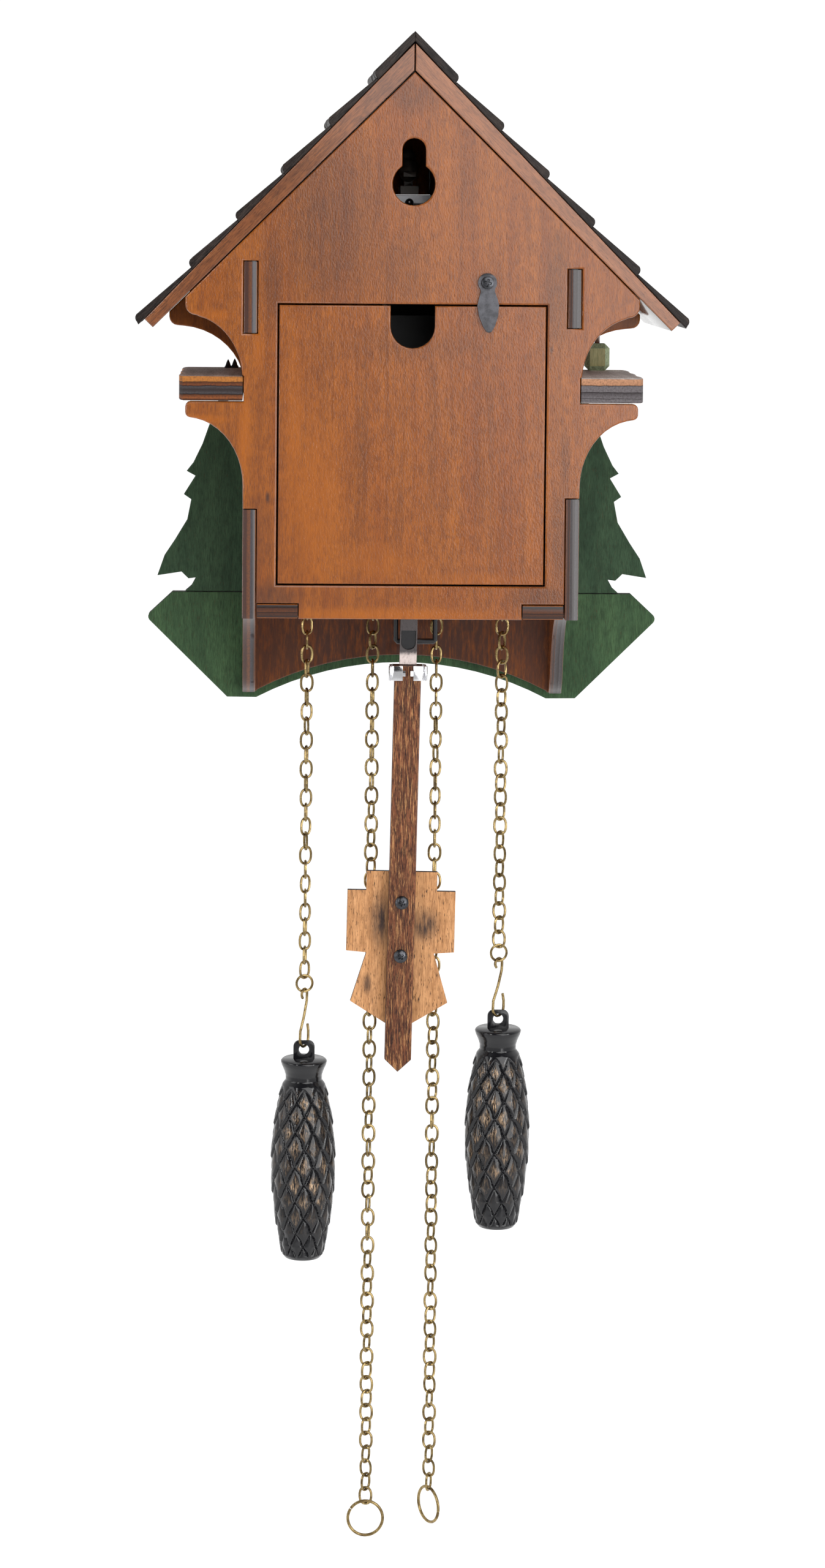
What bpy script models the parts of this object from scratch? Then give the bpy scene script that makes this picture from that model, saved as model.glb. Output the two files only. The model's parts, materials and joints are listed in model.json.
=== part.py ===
"""Chalet-style pendulum wall clock, built as separate wooden, metal and plastic pieces.

Frame: metres, +Z up. The dial faces -Y, and the back panel's rear face is the plane Y = 0, which
lies against the wall. The origin is the top of the keyhole slot, on that plane, where the nail sits.
Left is -X and right is +X, as seen from the front. Every dimension below is in millimetres.
"""
import math

import bmesh
import bpy
from mathutils import Matrix, Vector

MM = 0.001
GAP = 0.3
SIDES = {"left": -1, "right": 1}

# Case: plywood back, two sides, a bottom and a front board under a gable roof.
PLY = 5.0
WALL_HALF_WIDTH = 63.5
FRONT_REAR_Y = -75.0
FRONT_Y = FRONT_REAR_Y - PLY
CASE_BOTTOM_Z = -181.4
SKIRT_BOTTOM_Z = -219.0
BOTTOM_BOARD_Z = (-181.2, -175.9)
TENON_X = (42.5, 58.2)
# The tenons are hand-fitted, so each side's differ a little: upper (low, high), and lower top.
TENONS = {"left": ((-70.8, -48.9), -135.6), "right": ((-73.5, -46.7), -140.2)}

# Roof: one tapered board on each side, mitred at the ridge, with six rows of shingles.
ROOF_DEPTH = 100.0
ROOF_TOP_Z = 35.8
ROOF_SLOPE = math.radians(45.97)
ROOF_LENGTH = 145.2
RIDGE_THICKNESS = 7.2
EAVE_THICKNESS = 4.5
GABLE_TOP_Z = 24.8
GABLE_FALL = 0.9918
SHINGLE_ROWS = 6
SHINGLE_FIRST_BUTT = {"left": 21.5, "right": 19.5}
SHINGLE_PITCH = 24.9
SHINGLE_LAST_BUTT = 148.0
SHINGLE_BUTT_HEIGHT = 3.2
SHINGLE_HEAD_HEIGHT = 0.9
SHINGLE_DEPTH = 101.0

# Keyhole, hatch and latch on the back.
KEYHOLE_CENTRE_Z = -17.2
KEYHOLE_RADIUS = 8.0
KEYHOLE_SLOT_HALF_WIDTH = 4.4
HATCH_HALF_WIDTH = 50.8
HATCH_Z = (-168.7, -62.3)
HATCH_GAP = 0.6
FINGER_NOTCH_RADIUS = 8.35
FINGER_NOTCH_DEPTH = 16.0
LATCH_PIVOT = (-27.9, -54.0)
LATCH_TILT = 2.4
LATCH_THICKNESS = 1.2

# Balcony shelves on the side walls.
SHELF_Z = (-99.1, -89.8)
SHELF_OUTER_X = 86.4
SHELF_LOBES = 3
SHELF_LENGTH = 74.7

# Green boards across the front.
GREEN_THICKNESS = 5.5
BASE_TOP_Z = -180.0
TREE_AXIS_X = 72.0

# Dial, hands, movement and cuckoo.
DIAL_CENTRE_Z = -88.0
DIAL_RADIUS = 34.0
DIAL_THICKNESS = 2.4
HAND_THICKNESS = 0.8
ARBOR_RADIUS = 1.6
DOOR_HALF_WIDTH = 9.5
DOOR_Z = (-21.0, -3.5)
MOVEMENT_HALF_WIDTH = 31.0
MOVEMENT_Y = (-74.6, -46.8)
MOVEMENT_Z = (-152.0, -68.0)
BATTERY_X = 21.5
BATTERY_Z = (-147.4, -97.4)
BATTERY_RADIUS = 7.1
STAGE_TOP_Z = -21.3

# Pendulum, hung on the movement's rear face and leaning slightly as it hangs.
PENDULUM_PIVOT = (-2.2, -42.0, -122.0)
PENDULUM_LEAN = 0.97
STRIP_HALF_WIDTH = 3.35
ROD_HALF_WIDTH = 5.2
ROD_Y = (-39.4, -34.9)
LEAF_Y = (-42.2, -39.7)

# Chains under the case: a weight on each outer one and a pull ring on each inner one.
CHAIN_Y = -50.0
CHAIN_RADIUS = 2.75
CHAIN_TOP_Z = -188.1
CHAIN_POINT_SPACING = 14.0
HOOK_WIRE = 0.5
WEIGHT_CHAIN_X = 38.2
PULL_CHAIN_X = 12.5
CONNECTING_RING_Z = {"left": -318.8, "right": -331.2}
PULL_RING_Z = {"left": -539.7, "right": -545.3}
PULL_RING_TURN = {"left": -58.0, "right": 0.0}
PULL_RING_RADIUS = 6.9
PULL_RING_WIRE = 0.6
S_HOOK_HEIGHT = 24.0
S_HOOK_WIRE = 0.55
S_HOOK_TURN = {"left": 62.0, "right": 90.0}
TAB_HOLE_DROP = 26.2


# ------------------------------------------------------------------ scene helpers
def clear_scene():
    for obj in list(bpy.data.objects):
        bpy.data.objects.remove(obj, do_unlink=True)


def new_collection(name):
    collection = bpy.data.collections.new(name)
    bpy.context.scene.collection.children.link(collection)
    return collection


def new_material(name, colour, roughness, metallic=0.0):
    material = bpy.data.materials.new(name)
    material.use_nodes = True
    shader = material.node_tree.nodes["Principled BSDF"]
    shader.inputs["Base Color"].default_value = (*colour, 1.0)
    shader.inputs["Roughness"].default_value = roughness
    shader.inputs["Metallic"].default_value = metallic
    return material


def new_pivot(name, place):
    """An empty on a joint's axis; the pieces that turn or slide there are its children."""
    pivot = bpy.data.objects.new(name, None)
    pivot.location = Vector(place) * MM
    pivot.empty_display_size = 0.01
    parts.objects.link(pivot)
    return pivot


def attach(obj, pivot):
    """Make a piece the child of its pivot, without moving it."""
    obj.parent = pivot
    obj.matrix_parent_inverse = Matrix.Translation(-pivot.location)


def finish(obj, material, pivot=None):
    """Give a piece its material and, if it moves, its parent pivot."""
    obj.data.materials.append(material)
    parts.objects.link(obj)
    if pivot:
        attach(obj, pivot)
    return obj


# ------------------------------------------------------------------ outline helpers
def arc(centre, radii, start, end, steps):
    """Points along an elliptical arc, both ends included; the angles are in degrees."""
    points = []
    for index in range(steps + 1):
        angle = math.radians(start + (end - start) * index / steps)
        points.append((centre[0] + radii[0] * math.cos(angle), centre[1] + radii[1] * math.sin(angle)))
    return points


def circle(centre, radius, steps=24):
    return arc(centre, (radius, radius), 0, 360 - 360 / steps, steps - 1)


def rectangle(x_range, y_range):
    (x0, x1), (y0, y1) = x_range, y_range
    return [(x0, y0), (x1, y0), (x1, y1), (x0, y1)]


def flipped(points, side=-1):
    """The same outline on the other side of the centre line, still running the same way round."""
    return [(-x, y) for x, y in reversed(points)] if side < 0 else list(points)


def arch(half_width, foot_z, crown_z, steps):
    """A shallow arch from its right foot over the crown to its left foot."""
    rise = crown_z - foot_z
    radius = (half_width ** 2 + rise ** 2) / (2 * rise)
    spread = math.degrees(math.asin(half_width / radius))
    return arc((0, crown_z - radius), (radius, radius), 90 - spread, 90 + spread, steps)


def gable_z(x):
    """Height of the roof's underside, less the fitting gap, at a distance x from the ridge."""
    return GABLE_TOP_Z - GABLE_FALL * abs(x)


# ------------------------------------------------------------------ solid helpers
PLANES = {"XZ": (90, 0, 0), "YZ": (90, 0, 90), "XY": (0, 0, 0)}
THICKNESS_AXIS = {"XZ": 1, "YZ": 0, "XY": 2}


def flat_curve(name, outlines, plane, low, high):
    """A flat outline, with any holes, given a thickness from low to high across its plane."""
    curve = bpy.data.curves.new(name, "CURVE")
    curve.dimensions = "2D"
    curve.fill_mode = "BOTH"
    curve.extrude = (high - low) / 2 * MM
    for outline in outlines:
        spline = curve.splines.new("POLY")
        spline.points.add(len(outline) - 1)
        for point, (u, v) in zip(spline.points, outline):
            point.co = (u * MM, v * MM, 0, 1)
        spline.use_cyclic_u = True
    obj = bpy.data.objects.new(name, curve)
    obj.rotation_euler = [math.radians(angle) for angle in PLANES[plane]]
    obj.location[THICKNESS_AXIS[plane]] = (low + high) / 2 * MM
    return obj


def plate(name, outlines, plane, low, high, material, pivot=None):
    return finish(flat_curve(name, outlines, plane, low, high), material, pivot)


def mesh_object(name, build):
    """A mesh object filled by build, a function that takes the new bmesh."""
    mesh = bpy.data.meshes.new(name)
    bm = bmesh.new()
    build(bm)
    bm.to_mesh(mesh)
    bm.free()
    return bpy.data.objects.new(name, mesh)


def block_object(name, x_range, y_range, z_range):
    ranges = (x_range, y_range, z_range)
    size = Vector([(high - low) * MM for low, high in ranges])
    centre = Vector([(high + low) / 2 * MM for low, high in ranges])
    obj = mesh_object(name, lambda bm: bmesh.ops.create_cube(bm, size=1.0, matrix=Matrix.Diagonal(size.to_4d())))
    obj.location = centre
    return obj


def block(name, x_range, y_range, z_range, material, pivot=None, rounding=0.0):
    obj = finish(block_object(name, x_range, y_range, z_range), material, pivot)
    if rounding:
        bevel = obj.modifiers.new("rounded edges", "BEVEL")
        bevel.width = rounding * MM
        bevel.segments = 2
    return obj


def turned_object(name, profile, place, axis="Z", steps=24):
    """A solid of revolution: profile is (radius, height) pairs down the outside, axis to axis."""
    turn = {"Z": (0, 0, 0), "Y": (90, 0, 0), "X": (0, 90, 0)}[axis]
    mesh = bpy.data.meshes.new(name)
    points = [(radius * MM, 0, height * MM) for radius, height in profile]
    mesh.from_pydata(points, [(i, i + 1) for i in range(len(points) - 1)], [])
    obj = bpy.data.objects.new(name, mesh)
    obj.location = Vector(place) * MM
    obj.rotation_euler = [math.radians(angle) for angle in turn]
    screw = obj.modifiers.new("turned", "SCREW")
    screw.steps = steps
    screw.render_steps = steps
    screw.use_merge_vertices = True
    screw.merge_threshold = 0.00001
    screw.use_smooth_shade = True
    return obj


def turned(name, profile, place, material, axis="Z", steps=24, pivot=None):
    return finish(turned_object(name, profile, place, axis, steps), material, pivot)


def rod_profile(radius, length):
    """A plain rod, centred on its own origin."""
    half = length / 2
    return [(0, half), (radius, half), (radius, -half), (0, -half)]


def wire(name, points, radius, material, pivot=None, place=(0, 0, 0), turn=0.0):
    """A round wire along points, turned about the vertical through place."""
    curve = bpy.data.curves.new(name, "CURVE")
    curve.dimensions = "3D"
    curve.bevel_depth = radius * MM
    curve.bevel_resolution = 2
    curve.use_fill_caps = True
    spline = curve.splines.new("POLY")
    spline.points.add(len(points) - 1)
    for point, place_on_wire in zip(spline.points, points):
        point.co = (*(Vector(place_on_wire) * MM), 1)
    obj = bpy.data.objects.new(name, curve)
    obj.location = Vector(place) * MM
    obj.rotation_euler.z = math.radians(turn)
    return finish(obj, material, pivot)


def as_tool(obj):
    """A cutter, or a shape that another piece takes in: a hidden guide, not a piece."""
    obj.hide_render = True
    obj.display_type = "WIRE"
    cutters.objects.link(obj)
    return obj


def as_mesh(obj):
    """A curve object made a welded mesh object, so that a Boolean modifier can use it."""
    scene_collection = bpy.context.scene.collection
    scene_collection.objects.link(obj)
    bpy.context.view_layer.update()
    evaluated = obj.evaluated_get(bpy.context.evaluated_depsgraph_get())
    mesh = bpy.data.meshes.new_from_object(evaluated)
    bm = bmesh.new()
    bm.from_mesh(mesh)
    bmesh.ops.remove_doubles(bm, verts=bm.verts, dist=0.00001)
    bm.to_mesh(mesh)
    bm.free()
    solid = bpy.data.objects.new(obj.name, mesh)
    solid.matrix_world = obj.matrix_world.copy()
    bpy.data.objects.remove(obj, do_unlink=True)
    return solid


def boolean(obj, tool, operation):
    modifier = obj.modifiers.new(operation.lower(), "BOOLEAN")
    modifier.operation = operation
    modifier.object = as_tool(tool)
    modifier.solver = "EXACT"


def cut(obj, tool):
    boolean(obj, tool, "DIFFERENCE")


def add(obj, tool):
    boolean(obj, tool, "UNION")


# ------------------------------------------------------------------ case
def back_half_outline(side):
    """The right half of the back panel's edge, from the gable's tip down to the bottom centre."""
    ear_x, ear_low, ear_round = 85.6, -66.9, 4.1
    shelf_x = WALL_HALF_WIDTH
    lower_top = TENONS[side][1] + GAP
    points = [(0, GABLE_TOP_Z), (ear_x, gable_z(ear_x))]
    points += arc((ear_x - ear_round, ear_low + ear_round), (ear_round, ear_round), 0, -90, 5)
    points += arc((85.0, -91.0), (21.0, 24.2), 103, 176, 10)
    points += [(shelf_x, SHELF_Z[1]), (shelf_x, SHELF_Z[0] - GAP), (83.6, SHELF_Z[0] - GAP)]
    points += arc((83.4, -101.4), (2.0, 2.0), 90, 0, 3)
    points += arc((83.4, -103.5), (2.0, 2.0), 0, -80, 3)
    points += arc((85.0, -131.0), (21.4, 25.5), 100, 180, 10)
    points += [(WALL_HALF_WIDTH, lower_top), (TENON_X[1], lower_top), (TENON_X[1], BOTTOM_BOARD_Z[1] + GAP)]
    points += [(TENON_X[0] - GAP, BOTTOM_BOARD_Z[1] + GAP), (TENON_X[0] - GAP, CASE_BOTTOM_Z)]
    return points


def make_back_panel():
    outline = back_half_outline("right") + flipped(back_half_outline("left")[1:])
    spread = math.degrees(math.asin(KEYHOLE_SLOT_HALF_WIDTH / KEYHOLE_RADIUS))
    keyhole = arc((0, KEYHOLE_CENTRE_Z), (KEYHOLE_RADIUS,) * 2, 90 + spread, 450 - spread, 22)
    keyhole += arc((0, -KEYHOLE_SLOT_HALF_WIDTH), (KEYHOLE_SLOT_HALF_WIDTH,) * 2, 0, 180, 10)
    holes = [keyhole, rectangle((-HATCH_HALF_WIDTH, HATCH_HALF_WIDTH), HATCH_Z)]
    holes.append(circle(LATCH_PIVOT, 1.6, 12))
    for side, sign in SIDES.items():
        low, high = TENONS[side][0]
        slot = rectangle((TENON_X[1], WALL_HALF_WIDTH + GAP), (low - GAP, high + GAP))
        holes.append(flipped(slot, sign))
    plate("back_panel", [outline] + holes, "XZ", -PLY, 0, wood)


def make_hatch():
    half_width = HATCH_HALF_WIDTH - HATCH_GAP
    low, high = HATCH_Z[0] + HATCH_GAP, HATCH_Z[1] - HATCH_GAP
    notch_z = high - FINGER_NOTCH_DEPTH + FINGER_NOTCH_RADIUS
    outline = [(-half_width, low), (half_width, low), (half_width, high), (FINGER_NOTCH_RADIUS, high)]
    outline += arc((0, notch_z), (FINGER_NOTCH_RADIUS,) * 2, 0, -180, 12)
    outline += [(-FINGER_NOTCH_RADIUS, high), (-half_width, high)]
    plate("hatch", [outline], "XZ", -PLY + GAP, 0, wood)


def make_latch():
    """A flat turn-button on a screw, its blade hanging over the hatch's top edge."""
    pivot = new_pivot("latch_pivot", (LATCH_PIVOT[0], 0, LATCH_PIVOT[1]))
    boss, neck, blade = 3.6, 2.65, 4.1
    outline = arc((0, 0), (boss, boss), -40, 220, 14)
    outline += [(-neck, -3.4), (-3.5, -6.0), (-blade, -8.6), (-3.6, -12.5), (-2.2, -16.5)]
    outline += arc((0, -17.4), (1.4, 1.4), 200, 340, 5)
    outline += [(2.2, -16.5), (3.6, -12.5), (blade, -8.6), (3.5, -6.0), (neck, -3.4)]
    latch = plate("latch", [outline, circle((0, 0), 1.6, 12)], "XZ", GAP, GAP + LATCH_THICKNESS, blackened)
    latch.location += Vector((LATCH_PIVOT[0], 0, LATCH_PIVOT[1])) * MM
    latch.rotation_euler.y = math.radians(LATCH_TILT)
    attach(latch, pivot)
    top = GAP + LATCH_THICKNESS + GAP
    profile = [(0, top + 1.5), (1.4, top + 1.2), (2.35, top), (1.25, top), (1.25, -4.4), (0, -4.4)]
    screw = turned("latch_screw", profile, (LATCH_PIVOT[0], 0, LATCH_PIVOT[1]), blackened, "Y", 16)
    screw.rotation_euler.x = math.radians(-90)


def make_sides():
    """Side boards: tenoned into the back panel, with a skirt that runs down behind the front."""
    rear = -PLY - GAP
    front = FRONT_REAR_Y + GAP
    for side, sign in SIDES.items():
        (low, high), lower_top = TENONS[side]
        outline = [(front, gable_z(WALL_HALF_WIDTH)), (rear, gable_z(WALL_HALF_WIDTH))]
        outline += [(rear, high), (0, high), (0, low), (rear, low)]
        outline += [(rear, lower_top), (0, lower_top), (0, CASE_BOTTOM_Z)]
        outline += arc((-30.0, -219.0), (37.6, 37.6), 90, 170, 8)
        outline += [(-72.0, SKIRT_BOTTOM_Z), (front, SKIRT_BOTTOM_Z)]
        inner, outer = TENON_X[1] + GAP, WALL_HALF_WIDTH
        x_range = sorted((sign * inner, sign * outer))
        plate("side_board_" + side, [outline], "YZ", *x_range, wood)


def make_bottom_board():
    """Bottom board, with a slot for the pendulum and its guard and a hole for each chain hook."""
    half_width = TENON_X[1]
    rear, front = -PLY - GAP, FRONT_REAR_Y + GAP
    tenon_inner = TENON_X[0]
    outline = [(half_width - GAP, front), (half_width - GAP, 0), (tenon_inner, 0), (tenon_inner, rear)]
    outline = outline + flipped(outline)
    holes = [rectangle((-15.0, 9.0), (-48.6, -31.0))]
    for x in (WEIGHT_CHAIN_X, PULL_CHAIN_X):
        for sign in SIDES.values():
            holes.append(circle((sign * x, CHAIN_Y), HOOK_WIRE + GAP, 8))
    plate("bottom_board", [outline] + holes, "XY", *BOTTOM_BOARD_Z, wood)


def make_front_board():
    """Front board: the gable with wider ears, the cuckoo's doorway, and an arched lower edge."""
    ear_x, ear_low, ear_round = 93.5, -73.4, 3.5
    points = [(0, GABLE_TOP_Z), (ear_x, gable_z(ear_x))]
    points += arc((ear_x - ear_round, ear_low + ear_round), (ear_round, ear_round), 0, -90, 4)
    points += arc((90.0, -98.0), (26.5, 24.5), 95, 180, 10)
    points += [(WALL_HALF_WIDTH, SKIRT_BOTTOM_Z), (58.0, SKIRT_BOTTOM_Z)]
    arch_points = arch(57.6, -218.4, -204.2, 16)
    outline = points + arch_points + flipped(points[1:])
    doorway = arc((0, DOOR_Z[1]), (DOOR_HALF_WIDTH,) * 2, 0, 180, 12)
    doorway += [(-DOOR_HALF_WIDTH, DOOR_Z[0]), (DOOR_HALF_WIDTH, DOOR_Z[0])]
    arbor_hole = circle((0, DIAL_CENTRE_Z), 3.8, 16)
    plate("front_board", [outline, doorway, arbor_hole], "XZ", FRONT_Y, FRONT_REAR_Y, wood)


def make_shelves():
    """Side balcony shelves with a scalloped outer edge."""
    lobe = SHELF_LENGTH / SHELF_LOBES
    for side, sign in SIDES.items():
        outline = [(WALL_HALF_WIDTH + GAP, -SHELF_LENGTH), (SHELF_OUTER_X, -SHELF_LENGTH)]
        for index in range(SHELF_LOBES):
            middle = -SHELF_LENGTH + (index + 0.5) * lobe
            outline += arc((SHELF_OUTER_X, middle), (1.6, lobe / 2 - 0.8), -90, 90, 6)
        outline += [(SHELF_OUTER_X, 0), (WALL_HALF_WIDTH + GAP, 0)]
        plate("shelf_" + side, [flipped(outline, sign)], "XY", *SHELF_Z, wood)


# ------------------------------------------------------------------ roof
def on_slope(distance, height):
    """The point at a distance down the roof's top surface and a height square to it."""
    x = distance * math.cos(ROOF_SLOPE) + height * math.sin(ROOF_SLOPE)
    z = ROOF_TOP_Z - distance * math.sin(ROOF_SLOPE) + height * math.cos(ROOF_SLOPE)
    return (x, z)


def make_roof_boards():
    ridge_low = ROOF_TOP_Z - RIDGE_THICKNESS / math.cos(ROOF_SLOPE)
    mitre = GAP / 2
    outline = [(mitre, ROOF_TOP_Z - mitre), on_slope(ROOF_LENGTH, 0)]
    outline += [on_slope(ROOF_LENGTH, -EAVE_THICKNESS), (mitre, ridge_low - mitre)]
    for side, sign in SIDES.items():
        plate("roof_board_" + side, [flipped(outline, sign)], "XZ", -ROOF_DEPTH, 0, wood)


def make_shingles():
    """Rows of shingles, each a wedge that thickens from its head to its rounded butt."""
    for side, sign in SIDES.items():
        head = 0.0
        for row in range(SHINGLE_ROWS):
            butt = SHINGLE_FIRST_BUTT[side] + row * SHINGLE_PITCH
            if row == SHINGLE_ROWS - 1:
                butt = SHINGLE_LAST_BUTT
            outline = shingle_outline(head, butt)
            plate("shingle_{}_{}".format(side, row + 1), [flipped(outline, sign)], "XZ", -SHINGLE_DEPTH, 0, shingle)
            head = butt + GAP


def shingle_outline(head, butt):
    """One shingle's section, from its head to its butt down the slope; the first one starts at the ridge."""
    nose = 2.0
    nose_points = arc((butt - nose - GAP, SHINGLE_BUTT_HEIGHT - nose), (nose, nose), 0, 80, 4)
    outline = [on_slope(*point) for point in [(butt, GAP)] + nose_points]
    if head:
        return outline + [on_slope(head, SHINGLE_HEAD_HEIGHT), on_slope(head, GAP)]
    mitre = GAP / 2
    ridge = ROOF_TOP_Z + SHINGLE_BUTT_HEIGHT / math.cos(ROOF_SLOPE) - 0.8
    return outline + [(mitre, ridge), (mitre, ROOF_TOP_Z + 2 * GAP)]


# ------------------------------------------------------------------ green boards
def make_base_board():
    """The green base across the front, arched below and pointed at both ends."""
    tip = (99.2, -190.0)
    points = [(91.7, BASE_TOP_Z)] + arc(tip, (2.2, 2.2), 40, -45, 5) + [(69.7, -222.1), (58.7, -222.2)]
    outline = points + arch(58.0, -222.2, -207.9, 16) + flipped(points)
    plate("base_board", [outline], "XZ", FRONT_Y - GAP - GREEN_THICKNESS, FRONT_Y - GAP, green)


def make_trees():
    """A sawn fir tree at each end of the base."""
    outer = [(72.0, -96.0), (74.5, -105.5), (77.8, -114.1), (80.2, -121.0), (83.8, -128.5)]
    outer += [(86.3, -131.7), (82.8, -133.6), (87.4, -141.0), (84.5, -143.0), (86.1, -151.3)]
    outer += [(91.0, -159.5), (95.1, -165.7), (97.8, -173.5), (88.2, -172.0), (85.4, -174.7)]
    outer += [(82.4, -174.3), (84.2, -177.6), (86.6, BASE_TOP_Z + GAP)]
    inner = [(2 * TREE_AXIS_X - x, z) for x, z in reversed(outer[1:])]
    for side, sign in SIDES.items():
        outline = flipped(outer + inner, sign)
        plate("tree_" + side, [outline], "XZ", FRONT_Y - GAP - GREEN_THICKNESS, FRONT_Y - GAP, green)


# ------------------------------------------------------------------ dial and hands
def hand_outline(length, width, hub):
    """A hand that points up: a round hub, a slim stem, a leaf-shaped blade and a tip."""
    stem = width * 0.35
    half = [(hub, 0.0), (stem, hub), (stem, length * 0.5), (width, length * 0.68), (0.25, length)]
    return arc((0, 0), (hub, hub), 180, 360, 8) + half[1:] + flipped(half[1:])


def make_dial_and_hands():
    front = FRONT_Y - GAP
    back = front - DIAL_THICKNESS
    plate("dial", [circle((0, DIAL_CENTRE_Z), DIAL_RADIUS, 48), circle((0, DIAL_CENTRE_Z), 3.8, 16)],
          "XZ", back, front, dial_wood)
    hands = [("hour_hand", 19.0, 1.9, 3.0, back - 0.9, ARBOR_RADIUS + 0.9, 305.0),
             ("minute_hand", 28.0, 1.6, 2.6, back - 2.2, 0.0, 60.0)]
    for name, length, width, hub, face, hole, clock_angle in hands:
        pivot = new_pivot(name + "_pivot", (0, face, DIAL_CENTRE_Z))
        outlines = [hand_outline(length, width, hub)]
        if hole:
            outlines = [hand_outline(length, width, hub + 1.2), circle((0, 0), hole, 12)]
        hand = plate(name, outlines, "XZ", face - HAND_THICKNESS, face, ivory_plastic)
        hand.location.z = DIAL_CENTRE_Z * MM
        hand.rotation_euler.y = math.radians(clock_angle)
        attach(hand, pivot)


# ------------------------------------------------------------------ movement and cuckoo
def make_movement():
    """The quartz movement: battery bays, a bored arbor, and a stage above it for the cuckoo."""
    half_width = MOVEMENT_HALF_WIDTH
    case = block("movement_case", (-half_width, half_width), MOVEMENT_Y, MOVEMENT_Z, black_plastic)
    bush = turned_object("arbor_bush", rod_profile(3.2, 12.0), (0, -77.0, DIAL_CENTRE_Z), "Y", 20)
    add(case, bush)
    bore = turned_object("arbor_bore", rod_profile(ARBOR_RADIUS + 0.4, 60.0), (0, -62.0, DIAL_CENTRE_Z), "Y", 16)
    cut(case, bore)
    bay = BATTERY_RADIUS + 0.5
    for sign in SIDES.values():
        x_range = (sign * BATTERY_X - bay, sign * BATTERY_X + bay)
        cut(case, block_object("battery_bay", x_range, (-63.4, -40.0), (BATTERY_Z[0] - 0.6, BATTERY_Z[1] + 0.6)))
    column_z = (MOVEMENT_Z[1] - 1.0, STAGE_TOP_Z - 1.0)
    add(case, block_object("stage_column", (-10.0, 10.0), (-72.0, -50.0), column_z))
    stage_z = (STAGE_TOP_Z - 3.0, STAGE_TOP_Z)
    add(case, block_object("cuckoo_stage", (-14.0, 14.0), (-74.6, -36.0), stage_z))
    for number, sign in enumerate(SIDES.values(), 1):
        half = (BATTERY_Z[1] - BATTERY_Z[0]) / 2
        radius = BATTERY_RADIUS
        profile = [(0, half), (2.7, half), (2.7, half - 1.2), (radius - 0.4, half - 1.2), (radius, half - 1.8)]
        profile += [(radius, -half), (0, -half)]
        place = (sign * BATTERY_X, -55.7, sum(BATTERY_Z) / 2)
        battery = turned("battery_{}".format(number), profile, place, battery_jacket, "Z", 20)
        battery.rotation_euler.x = math.radians(180) if sign > 0 else 0.0


def make_set_knob():
    pivot = new_pivot("set_knob_pivot", (0, MOVEMENT_Y[1], DIAL_CENTRE_Z))
    profile = [(0, 5.6), (6.2, 5.6), (7.0, 4.9), (7.0, 1.6), (6.2, 0.6), (ARBOR_RADIUS, 0.6), (ARBOR_RADIUS, -6.0)]
    profile += [(0, -6.0)]
    knob = turned("set_knob", profile, (0, MOVEMENT_Y[1], DIAL_CENTRE_Z), grey_plastic, "Y", 24, pivot)
    knob.rotation_euler.x = math.radians(-90)


def make_mode_switch():
    rear = MOVEMENT_Y[1] + GAP
    pivot = new_pivot("mode_switch_pivot", (-2.0, rear, -108.0))
    block("mode_switch", (-4.0, 0.0), (rear, rear + 2.2), (-109.5, -106.5), grey_plastic, pivot)


def make_speaker():
    """A small loudspeaker that faces the left side wall."""
    profile = [(0, 7.0), (19.0, 7.0), (20.0, 6.0), (20.0, 4.0), (12.0, -2.0), (9.0, -2.0), (9.0, -7.0), (0, -7.0)]
    speaker = turned("speaker", profile, (-50.6, -40.0, -118.0), black_plastic, "X", 28)
    speaker.rotation_euler.y = math.radians(-90)


def make_cuckoo():
    """The cuckoo on its carriage, and the little door it opens."""
    slide = new_pivot("cuckoo_slide_pivot", (0, -58.0, STAGE_TOP_Z))
    bird = block("cuckoo", (-3.5, 3.5), (-66.0, -42.0), (STAGE_TOP_Z + GAP, STAGE_TOP_Z + 3.5), bird_paint, slide)
    bodies = [((0, -56.0, -11.6), (3.9, 8.4, 4.6), -12), ((0, -62.0, -6.6), (3.2, 3.6, 3.2), 0)]
    for place, radii, pitch in bodies:
        shape = Matrix.Rotation(math.radians(pitch), 4, "X") @ Matrix.Diagonal(Vector((*radii, 1.0)))
        ball = mesh_object("bird_body", lambda bm, shape=shape: bmesh.ops.create_uvsphere(
            bm, u_segments=14, v_segments=10, radius=MM, matrix=shape))
        ball.location = Vector(place) * MM
        add(bird, ball)
    beak = turned_object("bird_beak", [(0, 2.4), (0.9, -1.0), (1.5, -2.6), (0, -2.6)], (0, -67.2, -6.8), "Y", 10)
    add(bird, beak)
    add(bird, block_object("bird_tail", (-2.4, 2.4), (-50.5, -40.5), (-14.2, -12.4)))
    add(bird, block_object("bird_foot", (-1.6, 1.6), (-59.0, -53.0), (STAGE_TOP_Z + 3.0, -13.0)))

    hinge_x, hinge_y = DOOR_HALF_WIDTH - GAP, FRONT_Y + GAP
    hinge = new_pivot("cuckoo_door_pivot", (hinge_x, hinge_y, DOOR_Z[1]))
    half_width = DOOR_HALF_WIDTH - GAP - 0.1
    outline = arc((0, DOOR_Z[1]), (half_width,) * 2, 0, 180, 12)
    outline += [(-half_width, DOOR_Z[0] + GAP), (half_width, DOOR_Z[0] + GAP)]
    plate("cuckoo_door", [outline], "XZ", FRONT_Y + GAP, FRONT_Y + 3.3, wood, hinge)


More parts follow.
